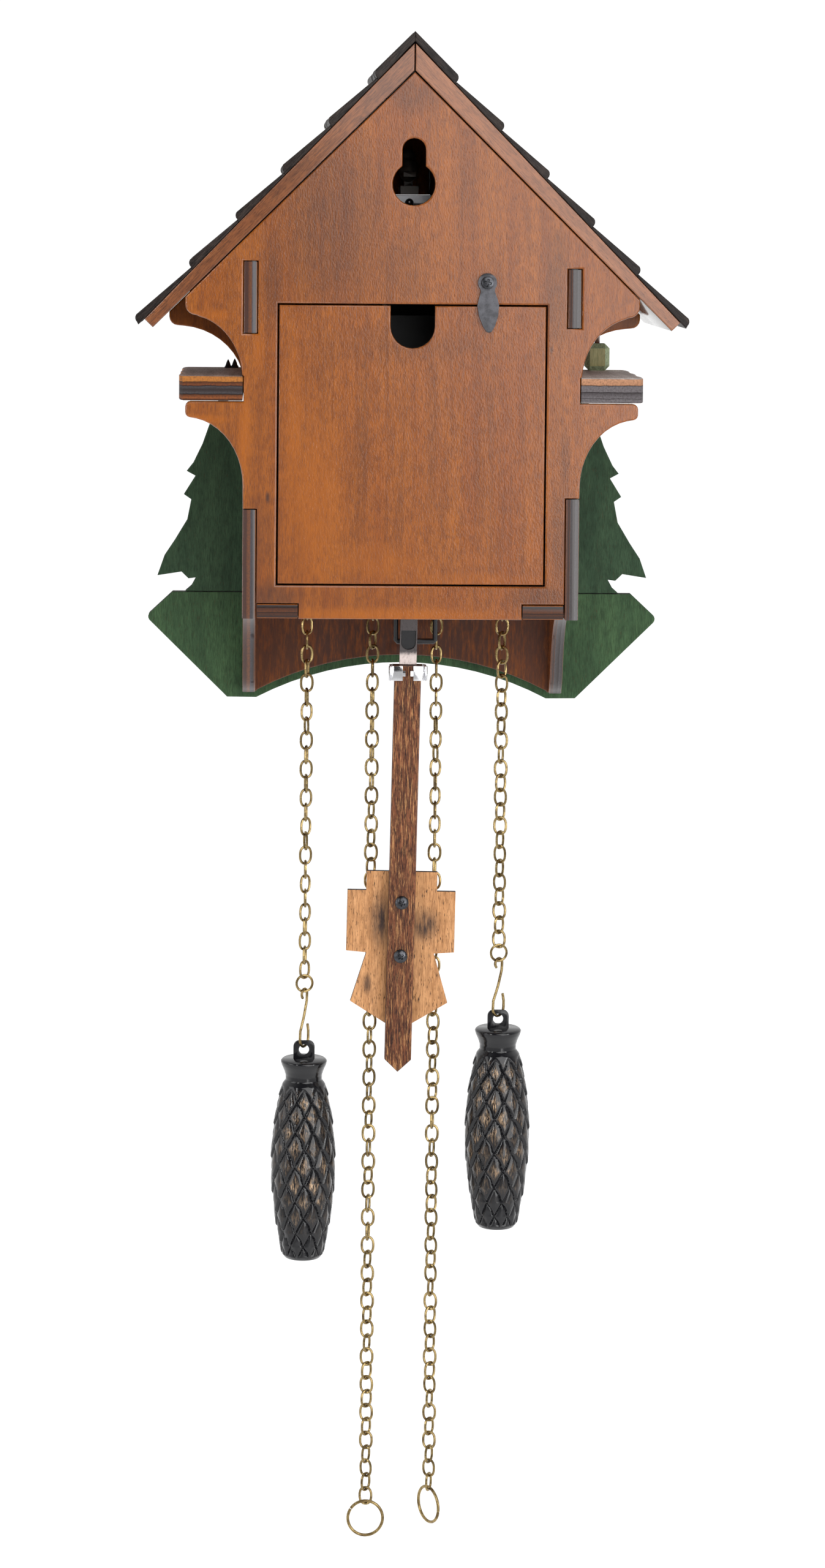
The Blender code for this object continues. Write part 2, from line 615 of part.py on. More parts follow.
# ------------------------------------------------------------------ pendulum
def make_pendulum_guard():
    """A plastic loop that keeps the pendulum's hanger from being pulled off its pin."""
    centre_x = -3.95
    outer, inner = 8.55, 6.75
    outline = [(centre_x + outer, -126.0), (centre_x + inner, -126.0), (centre_x + inner, -194.0)]
    outline += [(centre_x - inner, -194.0), (centre_x - inner, -126.0), (centre_x - outer, -126.0)]
    outline += [(centre_x - outer, -194.6), (centre_x - outer + 1.4, -195.9)]
    outline += [(centre_x + outer - 1.4, -195.9), (centre_x + outer, -194.6)]
    plate("pendulum_guard", [outline], "XZ", MOVEMENT_Y[1] + GAP, -42.6, black_plastic)


def make_pendulum():
    """Hanger arm, metal strip, spring clip, rod, carved leaf and its two screws, on one pivot."""
    pivot_x, pivot_y, pivot_z = PENDULUM_PIVOT
    pivot = new_pivot("pendulum_pivot", PENDULUM_PIVOT)
    x = pivot_x

    arm = arc((x, pivot_z), (4.2, 4.2), 0, 180, 8)
    arm += [(x - 2.9, pivot_z - 6.0), (x - 2.9, -195.0)]
    arm += arc((x, -195.0), (2.9, 2.9), 180, 360, 8)[1:]
    arm += [(x + 2.9, pivot_z - 6.0)]
    plate("pendulum_hanger", [arm], "XZ", -40.4, -37.9, black_plastic, pivot)

    half = STRIP_HALF_WIDTH
    window = arc((x, -195.0), (half - 0.5, 2.4), 180, 360, 8)
    window += [(x + half - 0.5, -190.0), (x - half + 0.5, -190.0)]
    edge = [(x - half, -203.2), (x + half, -203.2), (x + half, -184.0), (x - half, -184.0)]
    plate("pendulum_strip", [edge, window], "XZ", -37.6, -36.8, steel, pivot)

    inside = [(6.3, -38.4), (5.5, -39.6)]
    inside_rear = [(1.4, -34.0), (5.5, -34.0), (6.3, -35.2)]
    outside = [(5.9, -40.4), (7.1, -38.8), (7.1, -34.8), (6.05, -33.2), (1.4, -33.2)]
    half_clip = outside + inside_rear + inside
    clip = [(x + u, v) for u, v in half_clip + flipped(half_clip)]
    plate("pendulum_clip", [clip], "XY", -209.0, -203.5, chrome, pivot)

    rod = [(x - ROD_HALF_WIDTH, -203.5), (x - ROD_HALF_WIDTH, -357.9), (x, -362.8)]
    rod += [(x + ROD_HALF_WIDTH, -357.9), (x + ROD_HALF_WIDTH, -203.5)]
    plate("pendulum_rod", [rod], "XZ", *ROD_Y, rod_wood, pivot)

    right = [(13.8, -284.8), (13.8, -292.4), (21.1, -292.4), (21.1, -316.3), (13.2, -316.9), (19.0, -336.2)]
    leaf = [(x + u, v) for u, v in right] + [(x, -347.8)] + [(x - u, v) for u, v in reversed(right)]
    plate("pendulum_leaf", [leaf], "XZ", *LEAF_Y, leaf_wood, pivot)

    for name, z in (("leaf_screw_upper", -296.1), ("leaf_screw_lower", -317.1)):
        rear = ROD_Y[1] + GAP
        profile = [(0, rear + 1.3), (1.5, rear + 1.0), (2.6, rear), (0, rear)]
        screw = turned(name, profile, (x, 0, z), steel, "Y", 16, pivot)
        screw.rotation_euler.x = math.radians(-90)

    pivot.rotation_euler.y = math.radians(-PENDULUM_LEAN)


# ------------------------------------------------------------------ chains, weights and rings
def make_chain_hooks():
    """Small cup hooks in the bottom board, one for each chain."""
    loop_radius = 2.1
    eye_z = CHAIN_TOP_Z + GAP + HOOK_WIRE + loop_radius
    for side, sign in SIDES.items():
        for kind, x in (("weight", WEIGHT_CHAIN_X), ("pull", PULL_CHAIN_X)):
            shank = [(0, 0, BOTTOM_BOARD_Z[1] - 1.0), (0, 0, eye_z + loop_radius + 0.5)]
            loop = [(u, 0, z) for u, z in arc((0, eye_z), (loop_radius, loop_radius), 75, -190, 12)]
            wire("{}_chain_hook_{}".format(kind, side), shank + loop, HOOK_WIRE, brass,
                 place=(sign * x, CHAIN_Y, 0), turn=90.0)


def chain_tube(name, x, bottom_z, pivot):
    """A free-hanging chain as a plain tube of the links' outer width."""
    steps = round((CHAIN_TOP_Z - bottom_z) / CHAIN_POINT_SPACING)
    heights = [CHAIN_TOP_Z + (bottom_z - CHAIN_TOP_Z) * index / steps for index in range(steps + 1)]
    wire(name, [(x, CHAIN_Y, z) for z in heights], CHAIN_RADIUS, brass, pivot)


def s_hook_points():
    """An S in the XZ plane: a small upper loop, a diagonal, and a longer lower loop, from 0 down."""
    radius = 2.0
    lower = 3.1
    top_z = -S_HOOK_WIRE - radius
    low_z = -S_HOOK_HEIGHT + S_HOOK_WIRE + lower
    points = arc((0, top_z), (radius, radius), -50, 180, 9)
    points += [(-radius + 0.2, top_z - 3.0), (0.2, (top_z + low_z) / 2), (lower - 0.2, low_z + 3.2)]
    points += arc((0, low_z), (lower, lower), 0, -180, 9)
    points += [(-lower, low_z + 2.6), (-lower + 0.6, low_z + 5.4)]
    return [(u, 0, z) for u, z in points]


def weight_profile():
    """The pine cone: a flared rim, a neck, a swelling body and a flat foot, from its rim down."""
    profile = [(0, 0), (8.0, 0), (9.1, -0.8), (8.9, -2.2), (7.2, -6.4), (7.15, -8.2)]
    steps = 9
    for index in range(1, steps + 1):
        share = index / steps
        swell = math.sin(math.pi * (0.07 + 0.83 * share) ** 0.92)
        profile.append((6.0 + 6.5 * swell ** 0.9 + 0.15 * share, -8.2 - 68.6 * share))
    profile += [(6.35, -77.6), (5.4, -78.8), (0, -78.8)]
    return profile


def make_weight(side, sign, pivot):
    hole_z = CONNECTING_RING_Z[side] - TAB_HOLE_DROP
    rim_z = hole_z - 3.6
    x = sign * WEIGHT_CHAIN_X
    weight = turned("weight_" + side, weight_profile(), (x, CHAIN_Y, rim_z), black_plastic, "Z", 20, pivot)
    tab = [(4.2, -2.0), (4.2, 4.6)] + arc((1.8, 4.8), (2.4, 2.4), 10, 90, 3)
    outline = [(x + u, rim_z + v) for u, v in tab + flipped(tab)]
    hole = circle((x, hole_z), 2.0, 16)
    add(weight, as_mesh(flat_curve("weight_tab", [outline, hole], "XZ", CHAIN_Y - 0.65, CHAIN_Y + 0.65)))


def make_chains():
    for side, sign in SIDES.items():
        x = sign * WEIGHT_CHAIN_X
        ring_z = CONNECTING_RING_Z[side]
        hook_top = ring_z - 1.6
        swing = new_pivot("weight_chain_pivot_" + side, (x, CHAIN_Y, CHAIN_TOP_Z))
        chain_tube("weight_chain_" + side, x, hook_top + GAP, swing)
        hang = new_pivot("weight_pivot_" + side, (x, CHAIN_Y, hook_top))
        wire("s_hook_" + side, s_hook_points(), S_HOOK_WIRE, brass, hang, (x, CHAIN_Y, hook_top), S_HOOK_TURN[side])
        make_weight(side, sign, hang)

        x = sign * PULL_CHAIN_X
        ring_top = PULL_RING_Z[side] + PULL_RING_RADIUS + PULL_RING_WIRE
        swing = new_pivot("pull_chain_pivot_" + side, (x, CHAIN_Y, CHAIN_TOP_Z))
        chain_tube("pull_chain_" + side, x, ring_top + GAP, swing)
        ring_pivot = new_pivot("pull_ring_pivot_" + side, (x, CHAIN_Y, ring_top - PULL_RING_WIRE))
        bpy.ops.mesh.primitive_torus_add(
            major_segments=28, minor_segments=8, major_radius=PULL_RING_RADIUS * MM,
            minor_radius=PULL_RING_WIRE * MM, location=Vector((x, CHAIN_Y, PULL_RING_Z[side])) * MM,
            rotation=(math.radians(90), 0, math.radians(PULL_RING_TURN[side])))
        ring = bpy.context.object
        ring.name = "pull_ring_" + side
        for collection in list(ring.users_collection):
            collection.objects.unlink(ring)
        finish(ring, brass, ring_pivot)


# ------------------------------------------------------------------ build
clear_scene()
parts = new_collection("pendulum_wall_clock")
cutters = new_collection("cutters")

wood = new_material("stained_wood", (0.42, 0.19, 0.08), 0.55)
shingle = new_material("shingle_wood", (0.04, 0.03, 0.025), 0.7)
green = new_material("green_stain", (0.07, 0.16, 0.09), 0.6)
rod_wood = new_material("rod_wood", (0.30, 0.13, 0.07), 0.6)
leaf_wood = new_material("leaf_wood", (0.62, 0.30, 0.14), 0.65)
dial_wood = new_material("dial_wood", (0.22, 0.11, 0.05), 0.5)
ivory_plastic = new_material("ivory_plastic", (0.80, 0.74, 0.60), 0.4)
bird_paint = new_material("bird_paint", (0.45, 0.42, 0.36), 0.5)
battery_jacket = new_material("battery_jacket", (0.10, 0.22, 0.40), 0.35)
black_plastic = new_material("black_plastic", (0.015, 0.015, 0.018), 0.25)
grey_plastic = new_material("grey_plastic", (0.55, 0.55, 0.56), 0.3)
blackened = new_material("blackened_steel", (0.03, 0.03, 0.03), 0.4, 0.8)
steel = new_material("steel", (0.55, 0.54, 0.52), 0.35, 1.0)
chrome = new_material("chrome", (0.80, 0.80, 0.82), 0.12, 1.0)
brass = new_material("antique_brass", (0.32, 0.23, 0.11), 0.35, 1.0)

make_back_panel()
make_hatch()
make_latch()
make_sides()
make_bottom_board()
make_front_board()
make_shelves()
make_roof_boards()
make_shingles()
make_base_board()
make_trees()
make_dial_and_hands()
make_movement()
make_set_knob()
make_mode_switch()
make_speaker()
make_cuckoo()
make_pendulum_guard()
make_pendulum()
make_chain_hooks()
make_chains()
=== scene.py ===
"""Looks of the chalet pendulum clock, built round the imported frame: rounded boards, real chain links,
pine-cone weights, front trim and node materials. Sizes here are millimetres; MM turns them into metres.

Left is -X and right is +X, as seen from the front; +Y is the back, which hangs against the wall.
"""
import json
import math
import random

import bmesh
import bpy
from mathutils import Euler, Matrix, Vector


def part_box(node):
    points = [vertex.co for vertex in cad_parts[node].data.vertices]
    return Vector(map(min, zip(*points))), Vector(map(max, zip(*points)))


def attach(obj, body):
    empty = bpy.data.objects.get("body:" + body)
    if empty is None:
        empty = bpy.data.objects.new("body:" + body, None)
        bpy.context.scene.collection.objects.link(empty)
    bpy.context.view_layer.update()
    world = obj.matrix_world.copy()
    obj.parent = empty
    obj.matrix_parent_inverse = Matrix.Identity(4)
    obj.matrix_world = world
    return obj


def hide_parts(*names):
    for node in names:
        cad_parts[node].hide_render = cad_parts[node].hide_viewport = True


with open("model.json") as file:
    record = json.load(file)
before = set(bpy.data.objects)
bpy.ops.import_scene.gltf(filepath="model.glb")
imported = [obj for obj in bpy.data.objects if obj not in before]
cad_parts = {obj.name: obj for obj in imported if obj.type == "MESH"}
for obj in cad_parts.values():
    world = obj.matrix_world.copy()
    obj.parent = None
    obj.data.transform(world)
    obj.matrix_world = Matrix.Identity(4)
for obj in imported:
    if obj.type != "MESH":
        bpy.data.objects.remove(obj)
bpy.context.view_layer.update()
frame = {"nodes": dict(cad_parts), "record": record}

MM = 0.001
SAME_PLACE = 1e-6
SIDES = {"left": -1, "right": 1}
X_AXIS, Y_AXIS, Z_AXIS = 0, 1, 2
BODIES = frame["record"]["behaviour"]["bodies"]
BODY_OF = {node: body for body, nodes in BODIES.items() for node in nodes}

# Chains: links of round wire, the ring at the end of each weight chain, and the hooks' eyes.
CHAIN_Y = -50.0
LINK_PITCH = 5.6
LINK_WIDTH = 5.6
LINK_WIRE = 1.0
LINK_JOINT = 0.1
LINK_SQUARE = 2.4
HOOK_EYE_BOTTOM_Z = -187.3
HOOK_WIRE = 0.5
CHAIN_TOP_Z = -188.1
CONNECTING_RING_Z = {"left": -318.8, "right": -331.2}
CONNECTING_RING_RADIUS = 3.2
PULL_RING_Z = {"left": -539.7, "right": -545.3}
PULL_RING_TURN = {"left": -58.0, "right": 0.0}
PULL_RING_RADIUS = 6.9
PULL_RING_WIRE = 1.2
PULL_RING_GAP = 0.45
PULL_RING_GAP_ANGLE = {"left": 190.0, "right": 33.0}
HOOK_TURN = {"left": -18.0, "right": -32.0}
WEIGHT_CHAIN_X = 38.2
PULL_CHAIN_X = 12.5


def node_box(node):
    """A CAD node's lowest and highest corners, in millimetres."""
    low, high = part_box(node)
    return low / MM, high / MM


def placed(name, data, matrix=None):
    """A new object of the scene that holds data."""
    obj = bpy.data.objects.new(name, data)
    bpy.context.scene.collection.objects.link(obj)
    if matrix is not None:
        obj.matrix_world = matrix
    return obj


# ---------- camera, light and floor
# The camera stands behind the clock, level with its house and a little to its right, in metres. It
# looks to the front, turned by small angles in degrees: about its own Y, then its X, then its Z.
CAMERA_PLACE = (0.0558, 1.3531, -0.0248)
CAMERA_TURNS = (("Y", -1.370), ("X", -2.990), ("Z", 0.475))
CAMERA_LENS = 82.7
CAMERA_SENSOR = 36.0
CAMERA_SHIFT = (0.0399, -0.25)
# Soft boxes, in metres, their sides named as the camera sees them: name, place, target, (width,
# height), radiance, and where the width runs.
SOFT_BOXES = (
    ("key_box", (-0.74, 1.60, 0.295), (0, 0, -0.10), (1.7, 2.4), 3.0, (-0.84, 0, 0.54)),
    ("fill_box", (1.7, 0.6, 0.1), (0, 0, -0.25), (0.9, 1.8), 1.8, (1, 0, 0)),
    ("left_strip", (0.95, 1.15, 0.15), (0, 0, -0.30), (0.07, 1.0), 20.0, (1, 0, 0)),
    ("right_strip", (-1.05, 0.85, 0.10), (0, 0, -0.30), (0.05, 1.0), 14.0, (1, 0, 0)),
    ("top_box", (0.1, -0.1, 1.6), (0, 0, 0), (1.6, 1.2), 1.6, (1, 0, 0)),
)
FLOOR_SIZE = 60
FLOOR_Z = -1.1
# The floor's own glow: a depth in millimetres and the strength there, at the front and at the back.
FLOOR_GLOW_FRONT, FLOOR_GLOW_BACK = (-800.0, 0.75), (900.0, 0.22)
# World brightness as a light, from the front of the room to the back, and as seen by the camera.
ROOM_FRONT, ROOM_BACK, ROOM_SEEN = 0.95, 0.05, 1.05


def make_camera():
    data = bpy.data.cameras.new("camera")
    data.lens = CAMERA_LENS
    data.sensor_width = CAMERA_SENSOR
    data.shift_x, data.shift_y = CAMERA_SHIFT
    data.clip_start, data.clip_end = 0.05, 50.0
    aim = Euler((math.radians(90), 0, math.radians(180))).to_matrix()
    for axis, degrees in CAMERA_TURNS:
        aim = aim @ Matrix.Rotation(math.radians(degrees), 3, axis)
    matrix = Matrix.Translation(CAMERA_PLACE) @ aim.to_4x4()
    bpy.context.scene.camera = placed("camera", data, matrix)


def area_light(name, place, target, size, radiance, along):
    """A soft box of width and height size, in metres, with a set brightness whatever its size.
    Its width runs as nearly along the given direction as facing the target allows."""
    data = bpy.data.lights.new(name, "AREA")
    data.shape = "RECTANGLE"
    data.size, data.size_y = size
    data.energy = radiance * math.pi * size[0] * size[1]
    back = (Vector(place) - Vector(target)).normalized()
    width = (Vector(along) - back * back.dot(Vector(along))).normalized()
    turn = Matrix((width, back.cross(width), back)).transposed()
    placed(name, data, Matrix.Translation(place) @ turn.to_4x4())


def make_world():
    """A plain white room. The camera sees it white all round, but as a light it is bright at the
    front and dim at the back, so that only the soft boxes shine on the lacquer."""
    world = bpy.data.worlds.new("studio")
    bpy.context.scene.world = world
    world.use_nodes = True
    nodes, links = world.node_tree.nodes, world.node_tree.links
    background = nodes["Background"]
    kinds = ("TexCoord", "SeparateXYZ", "MapRange", "LightPath", "Mix")
    coords, parts, shade, path, pick = [nodes.new("ShaderNode" + kind) for kind in kinds]
    limits = {"From Min": -0.3, "From Max": 0.5, "To Min": ROOM_FRONT, "To Max": ROOM_BACK}
    for name, number in limits.items():
        shade.inputs[name].default_value = number
    pick.inputs["B"].default_value = ROOM_SEEN
    background.inputs["Color"].default_value = (1, 1, 1, 1)
    links.new(coords.outputs["Generated"], parts.inputs[0])
    links.new(parts.outputs["Y"], shade.inputs["Value"])
    links.new(path.outputs["Is Camera Ray"], pick.inputs["Factor"])
    links.new(shade.outputs["Result"], pick.inputs["A"])
    links.new(pick.outputs["Result"], background.inputs["Strength"])


def make_studio():
    make_world()
    for box in SOFT_BOXES:
        area_light(*box)
    bpy.ops.mesh.primitive_plane_add(size=FLOOR_SIZE, location=(0, 0, FLOOR_Z))
    floor = bpy.context.object
    floor.name = "floor"
    paint = Shader("pale_floor", roughness=0.9)
    paint.set("Base Color", (0.6, 0.6, 0.6, 1))
    paint.set("Emission Color", (1, 1, 1, 1))
    depth = paint.axis(paint.place(), Y_AXIS)
    (front, front_glow), (back, back_glow) = FLOOR_GLOW_FRONT, FLOOR_GLOW_BACK
    paint.set("Emission Strength", paint.between(depth, front, back, front_glow, back_glow))
    floor.data.materials.append(paint.material)


# ---------- shader helper
class Shader:
    """A Principled material built from nodes. Coordinates are the object's own, in millimetres."""

    def __init__(self, name, roughness=0.5, metallic=0.0):
        self.material = bpy.data.materials.new(name)
        self.material.use_nodes = True
        self.nodes = self.material.node_tree.nodes
        self.links = self.material.node_tree.links
        self.surface = self.nodes["Principled BSDF"]
        self.set("Roughness", roughness)
        self.set("Metallic", metallic)
        self.coords = self.facing = None

    def put(self, socket, value):
        """Link a socket to another, or set its own value."""
        if isinstance(value, bpy.types.NodeSocket):
            self.links.new(value, socket)
        elif value is not None:
            socket.default_value = value

    def set(self, name, value):
        self.put(self.surface.inputs[name], value)

    def add(self, kind, inputs, **settings):
        """A new node with these settings and these values or links on its inputs."""
        node = self.nodes.new("ShaderNode" + kind)
        for name, value in settings.items():
            setattr(node, name, value)
        for name, value in inputs.items():
            self.put(node.inputs[name], value)
        return node

    def place(self):
        """Object coordinates in millimetres."""
        if self.coords is None:
            source = self.add("TexCoord", {})
            self.coords = self.vector("SCALE", source.outputs["Object"], scale=1 / MM)
            self.facing = source.outputs["Normal"]
        return self.coords

    def normal(self):
        self.place()
        return self.facing

    def vector(self, operation, a, b=None, scale=None):
        inputs = {0: a, 1: b} if scale is None else {0: a, "Scale": scale}
        node = self.add("VectorMath", inputs, operation=operation)
        return node.outputs["Value" if operation == "LENGTH" else "Vector"]

    def math(self, operation, a, b=None, clamp=False):
        return self.add("Math", {0: a, 1: b}, operation=operation, use_clamp=clamp).outputs[0]

    def axis(self, vector, index):
        return self.add("SeparateXYZ", {0: vector}).outputs[index]

    def mapped(self, vector, scale=(1, 1, 1), rotation=(0, 0, 0), offset=(0, 0, 0)):
        turn = [math.radians(angle) for angle in rotation]
        inputs = {"Vector": vector, "Scale": scale, "Rotation": turn, "Location": offset}
        return self.add("Mapping", inputs).outputs[0]

    def noise(self, vector, scale, detail=2.0, roughness=0.5, offset=(0, 0, 0), distortion=0.0):
        """Cloudy noise from 0 to 1, with this many cells to the millimetre along each axis."""
        inputs = {"Scale": 1.0, "Detail": detail, "Roughness": roughness, "Distortion": distortion,
                  "Vector": self.mapped(vector, scale, offset=offset)}
        return self.add("TexNoise", inputs).outputs[0]

    def between(self, value, low, high, to_low=0.0, to_high=1.0):
        """Where value lies from low to high, smoothly, as a number from to_low to to_high."""
        inputs = {"Value": value, "From Min": low, "From Max": high, "To Min": to_low,
                  "To Max": to_high}
        return self.add("MapRange", inputs, interpolation_type="SMOOTHSTEP").outputs[0]

    def mix(self, factor, a, b):
        """Colour a where factor is 0, colour b where it is 1."""
        return self.add("Mix", {0: factor, 6: rgba(a), 7: rgba(b)}, data_type="RGBA").outputs[2]

    def over(self, under, colour, value, low, high, amount=1.0):
        """The colour under with another laid over it as value rises from low to high."""
        return self.mix(self.between(value, low, high, 0.0, amount), under, colour)

    def ramp(self, value, stops):
        """The colour of the (position, colour) stops at value."""
        node = self.add("ValToRGB", {0: value})
        elements = node.color_ramp.elements
        while len(elements) < len(stops):
            elements.new(0.5)
        for element, (position, colour) in zip(elements, stops):
            element.position = position
            element.color = rgba(colour)
        return node.outputs[0]

    def attribute(self, name):
        return self.add("Attribute", {}, attribute_name=name).outputs["Fac"]

    def bump(self, height, distance_mm, target="Normal"):
        inputs = {"Strength": 1.0, "Distance": distance_mm * MM, "Height": height}
        self.set(target, self.add("Bump", inputs).outputs[0])


def rgba(colour):
    """Three plain numbers as a colour with full alpha; sockets pass through."""
    return (*colour, 1.0) if isinstance(colour, tuple) and len(colour) == 3 else colour


# ---------- wood
def on_back(*rows):
    """Patches on the back of the case, each row its x, z, half width, half height and strength."""
    return [((x, 0, z), (wide, 10, tall), strength) for x, z, wide, tall, strength in rows]


# Layers are (position, colour) stops through a board's thickness, from its low side to its high one.
# Smudges, painted shade, painted glow and grey char with a painted sheen are (centre, radii, strength)
# patches on a board's face, in millimetres.
CHAR = (0.030, 0.022, 0.021)
CHAR_GREY = (0.062, 0.055, 0.058)
# A pale grey: grey char with a painted sheen, for the left shelf's edge plies.
ASH = (0.135, 0.122, 0.128)
INK = (0.008, 0.006, 0.006)
# A bluish grey for the lower ends of the side boards' edges: grey char with a painted sheen on it.
SOOT = (0.085, 0.085, 0.100)
EDGE_BROWN = (0.10, 0.034, 0.014)
EDGE_ORANGE = (0.40, 0.15, 0.035)
# A painted highlight: a brighter, deeper orange laid in patches where light falls on the back's rounded
# edges and on the hatch.
GLOW = (0.345, 0.092, 0.003)
FLECK = (0.50, 0.25, 0.10)
# Edge plies of the two shelves, one wood: the left shelf's, on the key light's side, are greyer and
# paler with a painted sheen.
SHELF_LAYERS = {
    "right": [(0.0, INK), (0.07, EDGE_BROWN), (0.10, (0.24, 0.075, 0.025)), (0.23, EDGE_BROWN),
              (0.26, INK), (0.30, CHAR_GREY), (0.44, CHAR), (0.57, CHAR_GREY), (0.60, INK),
              (0.63, (0.16, 0.05, 0.02)), (0.73, EDGE_BROWN), (0.755, INK), (0.78, EDGE_ORANGE),
              (0.97, EDGE_ORANGE), (1.0, INK)],
    "left": [(0.0, INK), (0.03, ASH), (0.16, ASH), (0.18, INK), (0.20, ASH), (0.41, CHAR_GREY),
             (0.43, INK), (0.46, ASH), (0.69, ASH), (0.71, INK), (0.74, (0.40, 0.20, 0.11)),
             (0.96, (0.46, 0.24, 0.14)), (1.0, INK)],
}
SIDE_LAYERS = {
    "right": [(0.0, EDGE_BROWN), (0.10, EDGE_BROWN), (0.13, CHAR), (0.38, (0.050, 0.047, 0.058)),
              (0.42, (0.115, 0.042, 0.018)), (0.52, (0.140, 0.050, 0.020)),
              (0.66, (0.105, 0.038, 0.018)), (0.70, (0.055, 0.022, 0.015)),
              (1.0, (0.065, 0.027, 0.020))],
    "left": [(0.0, CHAR), (0.30, CHAR_GREY), (0.34, INK), (0.38, CHAR), (0.66, CHAR_GREY),
             (0.70, EDGE_BROWN), (0.76, CHAR), (0.94, (0.12, 0.05, 0.03)), (1.0, INK)],
}
BOTTOM_LAYERS = [(0.0, INK), (0.08, CHAR), (0.34, (0.075, 0.028, 0.015)), (0.40, INK),
                 (0.46, EDGE_BROWN), (0.72, (0.065, 0.026, 0.016)), (0.78, INK), (0.84, CHAR),
                 (1.0, CHAR)]
# Darker patches on the back panel: some are the veneer's own, and those along the side boards' joints,
# at the bottom corners and under the roof's peak are painted shade.
PANEL_SMUDGES = on_back(
    (32, -32, 30, 52, 0.55), (6, -48, 16, 20, 0.35), (53, -52, 7, 30, 0.5),
    (-54, -58, 9, 36, 0.5), (57, -150, 8, 24, 0.35), (52, -173, 15, 10, 0.7),
    (-57, -150, 8, 34, 0.55), (-49, -173, 17, 9, 0.65), (54.2, -135.5, 1.4, 3.2, 0.95),
    (-52.5, -79, 1.1, 2.6, 0.9), (-58, -122, 3, 20, 0.5), (0, 16, 14, 10, 0.5),
    (-20, -14, 6, 30, 0.25), (40, -70, 18, 6, 0.3))
# Painted highlight patches on the back, mostly in bands along its edges.
PANEL_GLOW = on_back(
    (8, -180, 60, 4.5, 0.8), (63, -112, 4.0, 24, 0.75), (78, -106, 14, 2.5, 0.7),
    (58, -80, 3.0, 14, 0.6), (75, -67, 12, 3.0, 0.5), (-12, -25, 4, 30, 0.3),
    (-50, -120, 3, 50, 0.5), (46, -165, 8, 8, 0.3))
HATCH_SMUDGES = on_back(
    (18, -110, 3, 45, 0.30), (-8, -100, 3, 60, 0.25), (-30, -115, 2, 50, 0.22),
    (0, -78, 50, 10, 0.30), (4, -140, 2, 30, 0.2))
# Painted highlight patches on the hatch.
HATCH_GLOW = on_back(
    (36, -138, 17, 46, 0.55), (44, -110, 6, 50, 0.5), (15, -160, 30, 12, 0.4),
    (-46, -150, 4, 30, 0.3), (-20, -166, 40, 4, 0.35))
# Painted shade: the front board's inside face, which looks into the case, darkened.
FRONT_SMUDGES = [((0, -75, -200), (150, 2.5, 120), 1.0)]


def ply_layers():
    """Burnt five-ply wood: grey and brown plies with thin lines of char between them."""
    count = 5
    stops = []
    for index in range(count):
        start = index / count
        stops += [(start, CHAR), (start + 0.25 / count, CHAR_GREY if index % 2 else EDGE_BROWN)]
        stops += [(start + 0.8 / count, CHAR_GREY)]
    return stops


